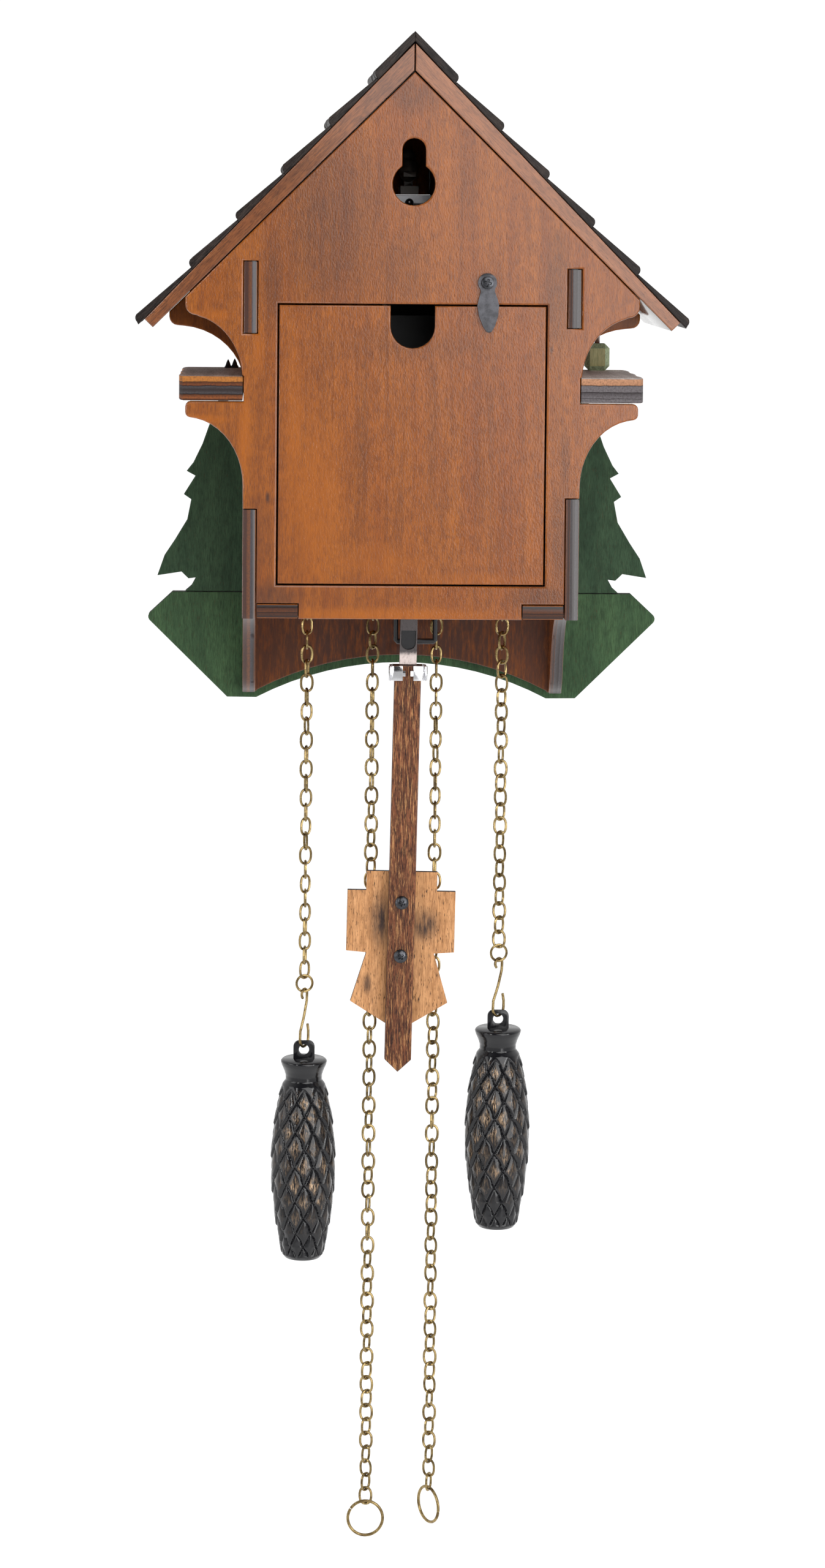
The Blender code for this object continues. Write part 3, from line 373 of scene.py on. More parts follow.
def wood(name, pale, mid, dark, face_axis, thickness, turn=(0, 0, 0), bands=(0.085, 0.006),
         contrast=1.0, layers=None, smudges=(), smoke=(0.060, 0.022, 0.012), glow=(), flecks=0.0,
         roughness=0.42, pores=0.35, relief=0.04, coat=1.0, roll=(0.18, 0.42), soot=(), pebble=0.0,
         seed=0.0):
    """Stained and lacquered wood, its grain along the turned Z. Faces square to face_axis show the
    veneer, and the board's edges show burnt layers through its thickness, a (low, high) pair: roll
    is how square to face_axis a face has to be, from none to all of the veneer. The grain is made
    of bands across and along it, and pebble is the depth of the lacquer's own fine texture."""
    shader = Shader(name)
    place = shader.place()
    grain = shader.mapped(place, rotation=turn, offset=(seed * 37.0, seed * 11.0, seed * 53.0))
    across, along = bands
    broad = shader.noise(grain, (across, across, along), detail=2.5, roughness=0.6, distortion=0.4)
    medium = shader.noise(grain, (across * 5, across * 5, along * 4), detail=3.0, roughness=0.6)
    mottle = shader.noise(grain, (0.32, 0.32, 0.20), detail=4.0, roughness=0.7, offset=(9, 9, 2))
    fine = shader.noise(grain, (3.1, 3.1, 0.26), detail=3.0, roughness=0.65)
    hair = shader.noise(grain, (7.0, 7.0, 0.8), detail=2.0, roughness=0.6, offset=(5, 3, 8))
    veneer = shader.over(mid, pale, broad, 0.30, 0.70)
    veneer = shader.over(veneer, dark, medium, 0.40, 0.75, 0.40 * contrast)
    veneer = shader.over(veneer, dark, mottle, 0.42, 0.70, 0.35 * contrast)
    veneer = shader.over(veneer, dark, fine, 0.42, 0.66, 0.60 * contrast)
    veneer = shader.over(veneer, pale, hair, 0.50, 0.72, 0.30)
    pore_noise = shader.noise(grain, (3.6, 3.6, 0.42), detail=1.0, offset=(21, 4, 9))
    pore = shader.between(pore_noise, 0.66, 0.74, 0.0, pores)
    veneer = shader.mix(pore, veneer, smoke)
    if flecks:
        fleck = shader.noise(grain, (2.8, 2.8, 0.16), detail=4.0, roughness=0.75, offset=(6, 1, 5))
        veneer = shader.over(veneer, FLECK, fleck, 0.52, 0.66, flecks)
    # Glow patches are a painted highlight that brightens the veneer to a deeper orange.
    if glow:
        veneer = shader.mix(patches(shader, place, glow), veneer, GLOW)
    # Smudge patches darken the veneer: some are real darker patches, some are painted shade by joints
    # and inside the case.
    if smudges:
        veneer = shader.mix(patches(shader, place, smudges), veneer, smoke)

    low, high = thickness
    above = shader.math("SUBTRACT", shader.axis(place, face_axis), low)
    depth = shader.math("DIVIDE", above, high - low)
    waver = shader.noise(grain, (0.25, 0.25, 0.25), detail=3.0, offset=(2, 7, 1))
    waver = shader.math("MULTIPLY", shader.math("SUBTRACT", waver, 0.5), 0.08)
    depth = shader.math("ADD", depth, waver)
    edge = shader.ramp(depth, layers or ply_layers())
    rough_cut = shader.noise(place, (1.3, 1.3, 1.3), detail=4.0, roughness=0.75)
    edge = shader.over(edge, CHAR, rough_cut, 0.40, 0.70, 0.6)
    # Grey patches on the edges: grey char with a painted sheen.
    if soot:
        edge = shader.mix(patches(shader, place, soot), edge, SOOT)
    square = shader.math("ABSOLUTE", shader.axis(shader.normal(), face_axis))
    shader.set("Base Color", shader.over(edge, veneer, square, *roll))
    shader.set("Roughness", shader.between(fine, 0.3, 0.7, roughness - 0.05, roughness + 0.10))
    shader.set("Specular IOR Level", 0.08)
    shader.set("Coat Weight", coat)
    shader.set("Coat Roughness", 0.12)
    height = shader.math("ADD", shader.math("ADD", fine, shader.math("MULTIPLY", pore, -1.5)),
                         shader.math("MULTIPLY", mottle, 1.2))
    shader.bump(height, relief)
    if pebble:
        skin = shader.noise(grain, (1.6, 1.6, 1.0), detail=2.0, roughness=0.6, offset=(4, 8, 6))
        shader.bump(skin, pebble, target="Coat Normal")
    return shader.material


def patches(shader, place, smudges):
    """Soft uneven patches: each is a centre, its radii and its strength, in millimetres."""
    total = None
    for centre, radii, strength in smudges:
        offset = shader.vector("SUBTRACT", place, centre)
        reach = shader.vector("LENGTH", shader.vector("DIVIDE", offset, radii))
        patch = shader.between(reach, 0.15, 1.0, strength, 0.0)
        total = patch if total is None else shader.math("MAXIMUM", total, patch)
    breakup = shader.noise(place, (0.9, 0.9, 0.13), detail=4.0, roughness=0.7, offset=(3, 3, 3))
    return shader.math("MULTIPLY", total, shader.between(breakup, 0.25, 0.6, 0.35, 1.0))


# ---------- pieces read from CAD nodes
def link_piece(name, mesh, body, material, stands_for=()):
    """A piece that rides on a body, and the CAD nodes that it stands for, if any."""
    mesh.materials.clear()
    mesh.materials.append(material)
    obj = placed(name, mesh)
    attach(obj, body)
    if stands_for:
        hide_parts(*stands_for)
    return obj


def case_piece(name, mesh, material):
    """A piece of the case that stands for no CAD node."""
    return link_piece(name, mesh, "case", material)


def finished(node, mesh, material):
    """The piece that stands for one CAD node, on the same body."""
    return link_piece(node + "_piece", mesh, BODY_OF[node], material, (node,))


def smooth(mesh, angle=35.0):
    """Smooth shading, with edges sharper than the angle, in degrees, left crisp."""
    mesh.shade_smooth()
    mesh.set_sharp_from_angle(angle=math.radians(angle))
    return mesh


def mesh_of(bm, name, outward=True):
    """The finished mesh of a bmesh, which is freed. Its faces are turned to point outwards."""
    if outward:
        bmesh.ops.recalc_face_normals(bm, faces=bm.faces)
    mesh = bpy.data.meshes.new(name)
    bm.to_mesh(mesh)
    bm.free()
    return mesh


def circle(steps):
    """The cosine and sine of each of so many even steps round a circle."""
    angles = [2 * math.pi * index / steps for index in range(steps)]
    return [(math.cos(angle), math.sin(angle)) for angle in angles]


def bridge(bm, here, there):
    """Faces between two rings of as many points each."""
    for index in range(len(here)):
        other = (index + 1) % len(here)
        bm.faces.new((here[index], here[other], there[other], there[index]))


def cap_ends(bm, rings):
    """Flat ends on a row of rings."""
    bm.faces.new(list(reversed(rings[0])))
    bm.faces.new(rings[-1])


def node_bmesh(node):
    """A CAD node's own mesh, its doubled points joined, as a bmesh."""
    bm = bmesh.new()
    bm.from_mesh(frame["nodes"][node].data)
    bmesh.ops.remove_doubles(bm, verts=bm.verts, dist=SAME_PLACE)
    return bm


def outlines(node, axis):
    """The outline and holes of a flat CAD piece's face on the high side of axis, as point loops."""
    bm = node_bmesh(node)
    top = max(vert.co[axis] for vert in bm.verts)
    cap = dict.fromkeys(face for face in bm.faces
                        if all(abs(vert.co[axis] - top) < SAME_PLACE for vert in face.verts))
    following, place = {}, {}
    for face in cap:
        for corner in face.loops:
            if sum(other in cap for other in corner.edge.link_faces) == 1:
                following[corner.vert.index] = corner.link_loop_next.vert.index
                place[corner.vert.index] = corner.vert.co.copy()
    bm.free()
    loops = []
    while following:
        start = next(iter(following))
        loop, here = [], start
        while here in following:
            loop.append(place[here])
            here = following.pop(here)
        loops.append(straightened(loop))
    return loops


def straightened(loop):
    """The loop without the points that lie on a straight run, to about a twentieth of a degree."""
    kept = []
    for before, here, after in zip(loop[-1:] + loop[:-1], loop, loop[1:] + loop[:1]):
        if (here - before).angle(after - here, 0.0) > 1e-3:
            kept.append(here)
    return kept


# Turns of a plate that is drawn flat in XY, so that its thickness runs along each axis, and the two
# coordinates of a point that are its place in that drawing.
PLANE_TURNS = {
    X_AXIS: Matrix(((0, 0, 1, 0), (1, 0, 0, 0), (0, 1, 0, 0), (0, 0, 0, 1))),
    Y_AXIS: Matrix(((1, 0, 0, 0), (0, 0, -1, 0), (0, 1, 0, 0), (0, 0, 0, 1))),
    Z_AXIS: Matrix.Identity(4),
}
FLAT_AXES = {X_AXIS: (1, 2), Y_AXIS: (0, 2), Z_AXIS: (0, 1)}


def rounded_plate(loops, axis, low, high, rounding, segments=2, grow=0.0):
    """A mesh with these outlines, in metres, from low to high along axis, in millimetres, its edges
    rounded over. A positive grow moves the outline outwards."""
    curve = bpy.data.curves.new("plate", "CURVE")
    curve.dimensions = "2D"
    curve.fill_mode = "BOTH"
    curve.extrude = ((high - low) / 2 - rounding) * MM
    curve.bevel_depth = rounding * MM
    curve.bevel_resolution = segments
    curve.offset = (grow - rounding) * MM
    first, second = FLAT_AXES[axis]
    for loop in loops:
        spline = curve.splines.new("POLY")
        spline.points.add(len(loop) - 1)
        for point, place in zip(spline.points, loop):
            point.co = (place[first], place[second], 0, 1)
        spline.use_cyclic_u = True
    obj = placed("plate", curve)
    bpy.context.view_layer.update()
    drawn = obj.evaluated_get(bpy.context.evaluated_depsgraph_get())
    mesh = bpy.data.meshes.new_from_object(drawn)
    bpy.data.objects.remove(obj, do_unlink=True)
    middle = Vector((0, 0, 0))
    middle[axis] = (low + high) / 2 * MM
    mesh.transform(Matrix.Translation(middle) @ PLANE_TURNS[axis])
    bm = bmesh.new()
    bm.from_mesh(mesh)
    bmesh.ops.remove_doubles(bm, verts=bm.verts, dist=SAME_PLACE)
    bmesh.ops.recalc_face_normals(bm, faces=bm.faces)
    bm.to_mesh(mesh)
    bm.free()
    smooth(mesh, 60)
    for polygon in mesh.polygons:
        polygon.use_smooth = abs(polygon.normal[axis]) < 0.999
    return mesh


def plate_piece(node, axis, rounding, material, segments=2, grow=0.0):
    """A flat CAD node's own outline as a plate with rounded edges."""
    low, high = node_box(node)
    loops = outlines(node, axis)
    mesh = rounded_plate(loops, axis, low[axis], high[axis], rounding, segments, grow)
    return finished(node, mesh, material)


def soft_copy(node, material):
    """A CAD node's own shape with its curves shaded smooth."""
    return finished(node, smooth(mesh_of(node_bmesh(node), node, outward=False)), material)


# ---------- chains, rings and hooks
def sweep(bm, points, radius, sides=8):
    """A round wire with flat ends along points, in millimetres, which bend in one plane."""
    first, second = points[len(points) // 3] - points[0], points[2 * len(points) // 3] - points[0]
    square = first.cross(second).normalized()
    rings = []
    for index, point in enumerate(points):
        tangent = (points[min(index + 1, len(points) - 1)] - points[max(index - 1, 0)]).normalized()
        across = tangent.cross(square).normalized()
        up = across.cross(tangent)
        offsets = [(across * u + up * v) * radius for u, v in circle(sides)]
        rings.append([bm.verts.new((point + offset) * MM) for offset in offsets])
    for here, there in zip(rings, rings[1:]):
        bridge(bm, here, there)
    cap_ends(bm, rings)


def link_points(centre, turn, length, width, steps=28):
    """A chain link's centreline: an upright oval turned about Z, with a thin butt joint."""
    spin = Matrix.Rotation(turn, 3, "Z")
    start = LINK_JOINT / length
    points = []
    for index in range(steps + 1):
        angle = start + (2 * math.pi - 2 * start) * index / steps
        across, up = math.cos(angle), math.sin(angle)
        swell = (abs(across) ** LINK_SQUARE + abs(up) ** LINK_SQUARE) ** (-1 / LINK_SQUARE)
        flat = Vector((across * swell * width / 2, 0, up * swell * length / 2))
        points.append(Vector(centre) + spin @ flat)
    return points


def ring_points(centre, turn, radius, gap_angle, gap, steps=40):
    """A ring that stands upright, turned about Z, with a butt gap at gap_angle, all in degrees."""
    spin = Matrix.Rotation(math.radians(turn), 3, "Z")
    start = math.radians(gap_angle) + gap / 2 / radius
    spread = 2 * math.pi - (gap / radius)
    points = []
    for index in range(steps + 1):
        angle = start + spread * index / steps
        flat = Vector((radius * math.cos(angle), 0, radius * math.sin(angle)))
        points.append(Vector(centre) + spin @ flat)
    return points


def make_chain(kind, side, x, low_z, rng, last_ring=None):
    """Interlocked links from the cup hook down to low_z, and the connecting ring if there is one.
    The links' turn drifts along the chain, and every second one stands nearly across its neighbours."""
    node = "{}_chain_{}".format(kind, side)
    top_z = HOOK_EYE_BOTTOM_Z + HOOK_WIRE + LINK_WIRE
    count = round((top_z - low_z - 2 * LINK_WIRE) / LINK_PITCH)
    pitch = (top_z - low_z - 2 * LINK_WIRE) / count
    bm = bmesh.new()
    drift = rng.uniform(-5, 25)
    for index in range(count):
        drift = min(30, max(-20, drift + rng.uniform(-9, 9)))
        turn = math.radians(drift + 66 * (index % 2) + rng.uniform(-13, 13))
        centre = (x, CHAIN_Y, top_z - (pitch + 2 * LINK_WIRE) / 2 - index * pitch)
        points = link_points(centre, turn, pitch + LINK_WIRE, LINK_WIDTH - LINK_WIRE)
        sweep(bm, points, LINK_WIRE / 2)
    bottom = low_z
    if last_ring is not None:
        points = ring_points((x, CHAIN_Y, last_ring), 12.0, CONNECTING_RING_RADIUS, 0.0, LINK_JOINT)
        sweep(bm, points, LINK_WIRE / 2)
        bottom = last_ring - CONNECTING_RING_RADIUS
    piece = finished(node, smooth(mesh_of(bm, node)), brass)
    steps = 20
    heights = [CHAIN_TOP_Z + (bottom - CHAIN_TOP_Z) * index / steps for index in range(steps + 1)]
    return piece, [(x * MM, CHAIN_Y * MM, z * MM) for z in heights]


def make_pull_ring(side, x):
    points = ring_points((x, CHAIN_Y, PULL_RING_Z[side]), PULL_RING_TURN[side], PULL_RING_RADIUS,
                         PULL_RING_GAP_ANGLE[side], PULL_RING_GAP, 64)
    node = "pull_ring_" + side
    bm = bmesh.new()
    sweep(bm, points, PULL_RING_WIRE / 2, 12)
    return finished(node, smooth(mesh_of(bm, node)), brass)


def make_chains():
    rng = random.Random(7)
    for side, sign in SIDES.items():
        ring_z = CONNECTING_RING_Z[side]
        low_z = ring_z + CONNECTING_RING_RADIUS + LINK_WIRE / 2 - 2 * LINK_WIRE
        chain, path = make_chain("weight", side, sign * WEIGHT_CHAIN_X, low_z, rng, ring_z)
        hook = soft_copy("s_hook_" + side, brass)
        turn_upright(hook.data, sign * WEIGHT_CHAIN_X, HOOK_TURN[side])
        cone = make_pine_cone(side, sign * WEIGHT_CHAIN_X)
        low_z = PULL_RING_Z[side] + PULL_RING_RADIUS - PULL_RING_WIRE / 2 - LINK_WIRE
        chain, path = make_chain("pull", side, sign * PULL_CHAIN_X, low_z, rng)
        make_pull_ring(side, sign * PULL_CHAIN_X)
        for kind in ("weight", "pull"):
            soft_copy("{}_chain_hook_{}".format(kind, side), brass)


def turn_upright(mesh, x, degrees):
    """Turn a mesh about the upright line through its chain."""
    line = Matrix.Translation((x * MM, CHAIN_Y * MM, 0))
    mesh.transform(line @ Matrix.Rotation(math.radians(degrees), 4, "Z") @ line.inverted())


# ---------- pine-cone weights
CONE_COLUMNS = 10
CONE_FIRST_ROW_Z = -10.5
CONE_AROUND = 200
CONE_DOWN = 250
CONE_LENGTH = 78.8
CONE_TIP_Z = -77.4
CONE_SPIN = {"left": 0.23, "right": -0.04}
NECK_Z, NECK_RADIUS = -8.2, 7.15
RIM_PROFILE = [(0.0, 8.3), (-0.5, 9.0), (-1.0, 9.1), (-2.2, 8.8), (-4.6, 7.75), (-6.4, 7.2),
               (NECK_Z, NECK_RADIUS)]


def cone_radius(z):
    """The weight's outer envelope at a depth z below its rim."""
    if z > NECK_Z:
        for (z0, r0), (z1, r1) in zip(RIM_PROFILE, RIM_PROFILE[1:]):
            if z >= z1:
                return r0 + (r1 - r0) * (z - z0) / (z1 - z0)
    share = min(1.0, (NECK_Z - z) / 68.6)
    swell = math.sin(math.pi * (0.07 + 0.83 * share) ** 0.92)
    return min(6.0 + 6.5 * swell ** 0.9 + 0.15 * share, NECK_RADIUS + (NECK_Z - z) * 0.75)


def cone_rows():
    """Depths of the rows of scales: each row is as deep as a little over half the radius there."""
    depths = [CONE_FIRST_ROW_Z]
    while depths[-1] > -CONE_LENGTH - 8.0:
        depths.append(depths[-1] - 0.56 * cone_radius(max(depths[-1], -77.0)))
    return depths


def step(value, low, high):
    """0 below low and 1 above high, with a smooth rise between."""
    share = max(0.0, min(1.0, (value - low) / (high - low)))
    return share * share * (3 - 2 * share)


def scale_height(rows, column, z):
    """Height of the scales over their bed, and how much of a scale's raised middle is here, 0 to 1.
    The scales are the cells between two sets of spiral lines; each is domed, and its lower tip
    stands out from the next row."""
    if z >= rows[0]:
        return 0.3, 0.0
    index = next(i for i in range(len(rows) - 1) if rows[i + 1] <= z)
    down = (index + (rows[index] - z) / (rows[index] - rows[index + 1])) / 2
    bow = 0.05 * math.cos(4 * math.pi * down)
    first, second = column + down, column - down + bow
    first, second = first - round(first), second - round(second)
    reach = 2 * max(abs(first), abs(second))
    lower = first - second
    dome = 0.70 * (1 - reach ** 2.0)
    rim = 0.22 * math.exp(-((reach - 0.80) / 0.09) ** 2) * step(lower, -0.3, 0.5)
    groove = 0.30 * math.exp(-((1 - reach) / 0.09) ** 2)
    middle = step(1 - reach, 0.20, 0.60) * step(lower, -0.70, 0.05)
    return 0.50 + 0.50 * lower + dome + rim - groove, middle


def make_pine_cone(side, x):
    """The weight: a flared rim with its tab, a smooth neck and rows of overlapping scales."""
    node = "weight_" + side
    low, high = node_box(node)
    rim_z = low.z + CONE_LENGTH
    rows = cone_rows()
    bm = bmesh.new()
    raised = []
    rings = []
    for step_down in range(CONE_DOWN + 1):
        z = -CONE_LENGTH * (step_down / CONE_DOWN)
        ring = []
        fade = step(-z, 10.0, 13.0) * (1 - step(-z, 76.0, 78.2))
        brushed = step(-z, 10.0, 18.0) * (1 - step(-z, 50.0, 70.0))
        for index, (across, up) in enumerate(circle(CONE_AROUND)):
            column = CONE_COLUMNS * (index / CONE_AROUND + 10.0) + CONE_SPIN[side]
            height, face = scale_height(rows, column, z)
            radius = cone_radius(z) + (height - 1.0) * fade
            if z < CONE_TIP_Z:
                radius -= (CONE_TIP_Z - z) * 0.8
            place = Vector((x + radius * across, CHAIN_Y + radius * up, rim_z + z))
            ring.append(bm.verts.new(place * MM))
            raised.append(face * brushed * abs(up) ** 1.5)
        rings.append(ring)
    for upper, lower in zip(rings, rings[1:]):
        for index in range(CONE_AROUND):
            other = (index + 1) % CONE_AROUND
            bm.faces.new((upper[index], lower[index], lower[other], upper[other]))
    bm.faces.new(rings[0])
    bm.faces.new(list(reversed(rings[-1])))
    bm.from_mesh(tab_mesh(x, rim_z))
    mesh = mesh_of(bm, node)
    values = raised + [0.0] * (len(mesh.vertices) - len(raised))
    mesh.attributes.new("raised", "FLOAT", "POINT").data.foreach_set("value", values)
    return finished(node, smooth(mesh, 50), cone_plastic)


def tab_mesh(x, rim_z):
    """The hanging tab on the rim: a plate with two rounded shoulders and a hole."""
    half, top, shoulder, hole_radius = 4.2, 7.2, 2.4, 2.0

    def at(u, v):
        return Vector((x + u, CHAIN_Y, rim_z + v))

    corner = [at(half, -1.0)]
    for index in range(7):
        angle = math.pi / 2 * index / 6
        corner.append(at(half - shoulder + shoulder * math.cos(angle),
                         top - shoulder + shoulder * math.sin(angle)))
    outline = corner + [Vector((2 * x - point.x, point.y, point.z)) for point in reversed(corner)]
    turns = [index * math.pi / 12 for index in range(24)]
    hole = [at(hole_radius * math.cos(a), 3.6 + hole_radius * math.sin(a)) for a in turns]
    loops = [[point * MM for point in loop] for loop in (outline, hole)]
    return rounded_plate(loops, Y_AXIS, CHAIN_Y - 0.65, CHAIN_Y + 0.65, 0.25)


# ---------- materials
def plain_metal(name, colour, roughness, stain, stain_amount):
    """Metal with fine rubbed marks and darker stains."""
    shader = Shader(name, roughness, 1.0)
    place = shader.place()
    cloud = shader.noise(place, (0.35, 0.35, 0.35), detail=4.0, roughness=0.65)
    speck = shader.noise(place, (2.5, 2.5, 2.5), detail=2.0)
    colour = shader.over(colour, stain, cloud, 0.4, 0.7, stain_amount)
    shader.set("Base Color", shader.over(colour, stain, speck, 0.55, 0.7, stain_amount * 0.7))
    shader.set("Roughness", shader.between(cloud, 0.3, 0.7, roughness * 0.8, roughness * 1.4))
    shader.bump(speck, 0.01)
    return shader.material


def moulded_plastic(name, colour, roughness):
    """Moulded plastic: a faint ripple and slightly uneven gloss."""
    shader = Shader(name, roughness)
    place = shader.place()
    ripple = shader.noise(place, (0.22, 0.22, 0.22), detail=2.0)
    grain = shader.noise(place, (5.0, 5.0, 5.0), detail=2.0)
    shadowed = tuple(channel * 0.8 for channel in colour)
    shader.set("Base Color", shader.over(colour, shadowed, ripple, 0.3, 0.7, 0.5))
    shader.set("Roughness", shader.between(grain, 0.3, 0.7, roughness * 0.85, roughness * 1.2))
    shader.bump(grain, 0.02)
    return shader.material


def movement_plastic():
    """Matt black plastic with the cuckoo's stage above it in glossy light grey."""
    shader = Shader("movement_plastic", 0.5)
    height = shader.axis(shader.place(), Z_AXIS)
    grain = shader.noise(shader.place(), (4.0, 4.0, 4.0), detail=2.0)
    upper = shader.between(height, -62.0, -61.5)
    black = shader.mix(grain, (0.006, 0.006, 0.007), (0.010, 0.010, 0.011))
    shader.set("Base Color", shader.mix(upper, black, (0.85, 0.84, 0.87)))
    shader.set("Roughness", shader.between(upper, 0.0, 1.0, 0.55, 0.20))
    shader.bump(grain, 0.02)
    return shader.material


def cone_material():
    """Glossy black plastic, dry-brushed with bronze along the middle of each scale."""
    shader = Shader("cone_black", 0.22)
    place = shader.place()
    streak = shader.noise(place, (2.2, 2.2, 0.30), detail=4.0, roughness=0.75, distortion=0.2)
    patch = shader.noise(place, (0.11, 0.11, 0.08), detail=2.0, offset=(8, 1, 4))
    brushed = shader.math("MULTIPLY", shader.attribute("raised"), shader.between(streak, 0.45, 0.62))
    patchy = shader.between(patch, 0.42, 0.60, 0.25, 1.0)
    brushed = shader.math("MULTIPLY", brushed, patchy, clamp=True)
    tone = shader.noise(place, (2.2, 2.2, 0.5), detail=2.0)
    gold = shader.mix(tone, (0.46, 0.26, 0.12), (0.68, 0.50, 0.33))
    shader.set("Base Color", shader.mix(brushed, (0.006, 0.006, 0.0075), gold))
    shader.set("Roughness", shader.between(brushed, 0.0, 0.6, 0.12, 0.36))
    shader.bump(streak, 0.015)
    return shader.material


PANEL_PALE = (0.312, 0.089, 0.007)
PANEL_MID = (0.242, 0.061, 0.005)
PANEL_DARK = (0.11, 0.027, 0.005)
BROWN = (PANEL_PALE, PANEL_MID, PANEL_DARK)
ROOF_SLOPE = 45.97
ROOF_UNDERSIDE_Z, ROOF_UNDERSIDE_SLOPE = 25.40, 0.9943
ROOF_TURN = 90 - ROOF_SLOPE
ROOF_LAYERS = [(0.0, (0.13, 0.10, 0.085)), (0.9, (0.12, 0.09, 0.07)), (0.99, (0.03, 0.015, 0.01)),
               (1.0, (0.03, 0.015, 0.01))]
SHAKE_COLOURS = ((0.046, 0.034, 0.029), (0.026, 0.020, 0.018), (0.008, 0.007, 0.007))
TREE_COLOURS = ((0.047, 0.088, 0.048), (0.030, 0.060, 0.034), (0.015, 0.026, 0.016))
BASE_COLOURS = ((0.060, 0.116, 0.053), (0.041, 0.082, 0.040), (0.019, 0.033, 0.019))
ROD_COLOURS = ((0.27, 0.095, 0.042), (0.13, 0.042, 0.018), (0.020, 0.009, 0.008))
LEAF_COLOURS = ((0.68, 0.36, 0.170), (0.54, 0.265, 0.112), (0.22, 0.095, 0.040))
DIAL_COLOURS = ((0.20, 0.08, 0.03), (0.12, 0.045, 0.018), (0.05, 0.02, 0.01))
CARVED_COLOURS = ((0.52, 0.24, 0.09), (0.40, 0.16, 0.05), (0.20, 0.07, 0.025))
SHUTTER_COLOURS = ((0.038, 0.095, 0.036), (0.026, 0.066, 0.028), (0.014, 0.024, 0.014))
OLIVE_COLOURS = ((0.42, 0.38, 0.17), (0.33, 0.25, 0.10), (0.14, 0.15, 0.06))
POST_COLOURS = ((0.16, 0.075, 0.04), (0.11, 0.05, 0.028), (0.05, 0.02, 0.013))
# Shelf tops, one wood: both carry a painted sheen, the left one, on the key light's side, much more.
SHELF_COLOURS = {
    "right": ((0.46, 0.330, 0.280), (0.29, 0.205, 0.175), (0.09, 0.065, 0.058)),
    "left": ((0.88, 0.800, 0.760), (0.74, 0.640, 0.590), (0.30, 0.240, 0.215)),
}
# The roof boards are one wood, coloured as lit and shaded copies: the left one paler with a painted
# sheen, the right one darker.
ROOF_COLOURS = {
    "right": ((0.25, 0.085, 0.028), (0.17, 0.053, 0.018), (0.05, 0.018, 0.010)),
    "left": ((0.36, 0.140, 0.055), (0.27, 0.095, 0.035), (0.12, 0.042, 0.020)),
}
LEAF_LAYERS = [(0.0, CHAR), (0.3, (0.05, 0.055, 0.07)), (0.7, CHAR), (1.0, (0.045, 0.045, 0.055))]
GREEN_LAYERS = [(0.0, (0.030, 0.055, 0.028)), (0.45, (0.022, 0.030, 0.020)),
                (1.0, (0.020, 0.022, 0.018))]
GREEN_LOOKS = {"depth": (-86, -80), "bands": (0.12, 0.02), "layers": GREEN_LAYERS, "coat": 0.0,
               "roughness": 0.6}
ROOF_DEPTH = (-100, 0)
TRIM_DEPTH = (-100, -80)
BLOCK_DEPTH = (-80, -60)
LEAF_BACK_Y = -39.7
BIRD_LIFT = 0.1
ALL_VENEER = (0.0, 0.05)


brass = plain_metal("antique_brass", (0.34, 0.25, 0.11), 0.26, (0.09, 0.055, 0.025), 0.85)
cone_plastic = cone_material()
black_plastic = moulded_plastic("black_plastic", (0.010, 0.010, 0.012), 0.18)
grey_plastic = moulded_plastic("grey_plastic", (0.45, 0.45, 0.47), 0.25)
ivory_plastic = moulded_plastic("ivory_plastic", (0.80, 0.72, 0.55), 0.38)
chrome = plain_metal("chrome", (0.80, 0.80, 0.82), 0.10, (0.5, 0.5, 0.5), 0.3)
blackened = plain_metal("blackened_steel", (0.10, 0.10, 0.11), 0.42, (0.04, 0.04, 0.04), 0.4)
screw_black = plain_metal("screw_black", (0.075, 0.077, 0.085), 0.25, (0.02, 0.02, 0.02), 0.5)
# The cuckoo is coloured dark brown as painted shade, for the dark inside of the case around it.
bird_paint = moulded_plastic("bird_paint", (0.10, 0.08, 0.065), 0.5)
battery_jacket = moulded_plastic("battery_jacket", (0.10, 0.22, 0.40), 0.35)


# ---------- boards
def thickness_of(node, axis):
    """A board's low and high side along its thickness."""
    low, high = node_box(node)
    return low[axis], high[axis]


def board_piece(node, axis, rounding, colours, material, segments=2, grow=0.0, depth=None, **looks):
    """A wooden plate. Its burnt layers span the depth, or else the node's own thickness."""
    stain = wood(material, *colours, axis, depth or thickness_of(node, axis), **looks)
    plate_piece(node, axis, rounding, stain, segments, grow)


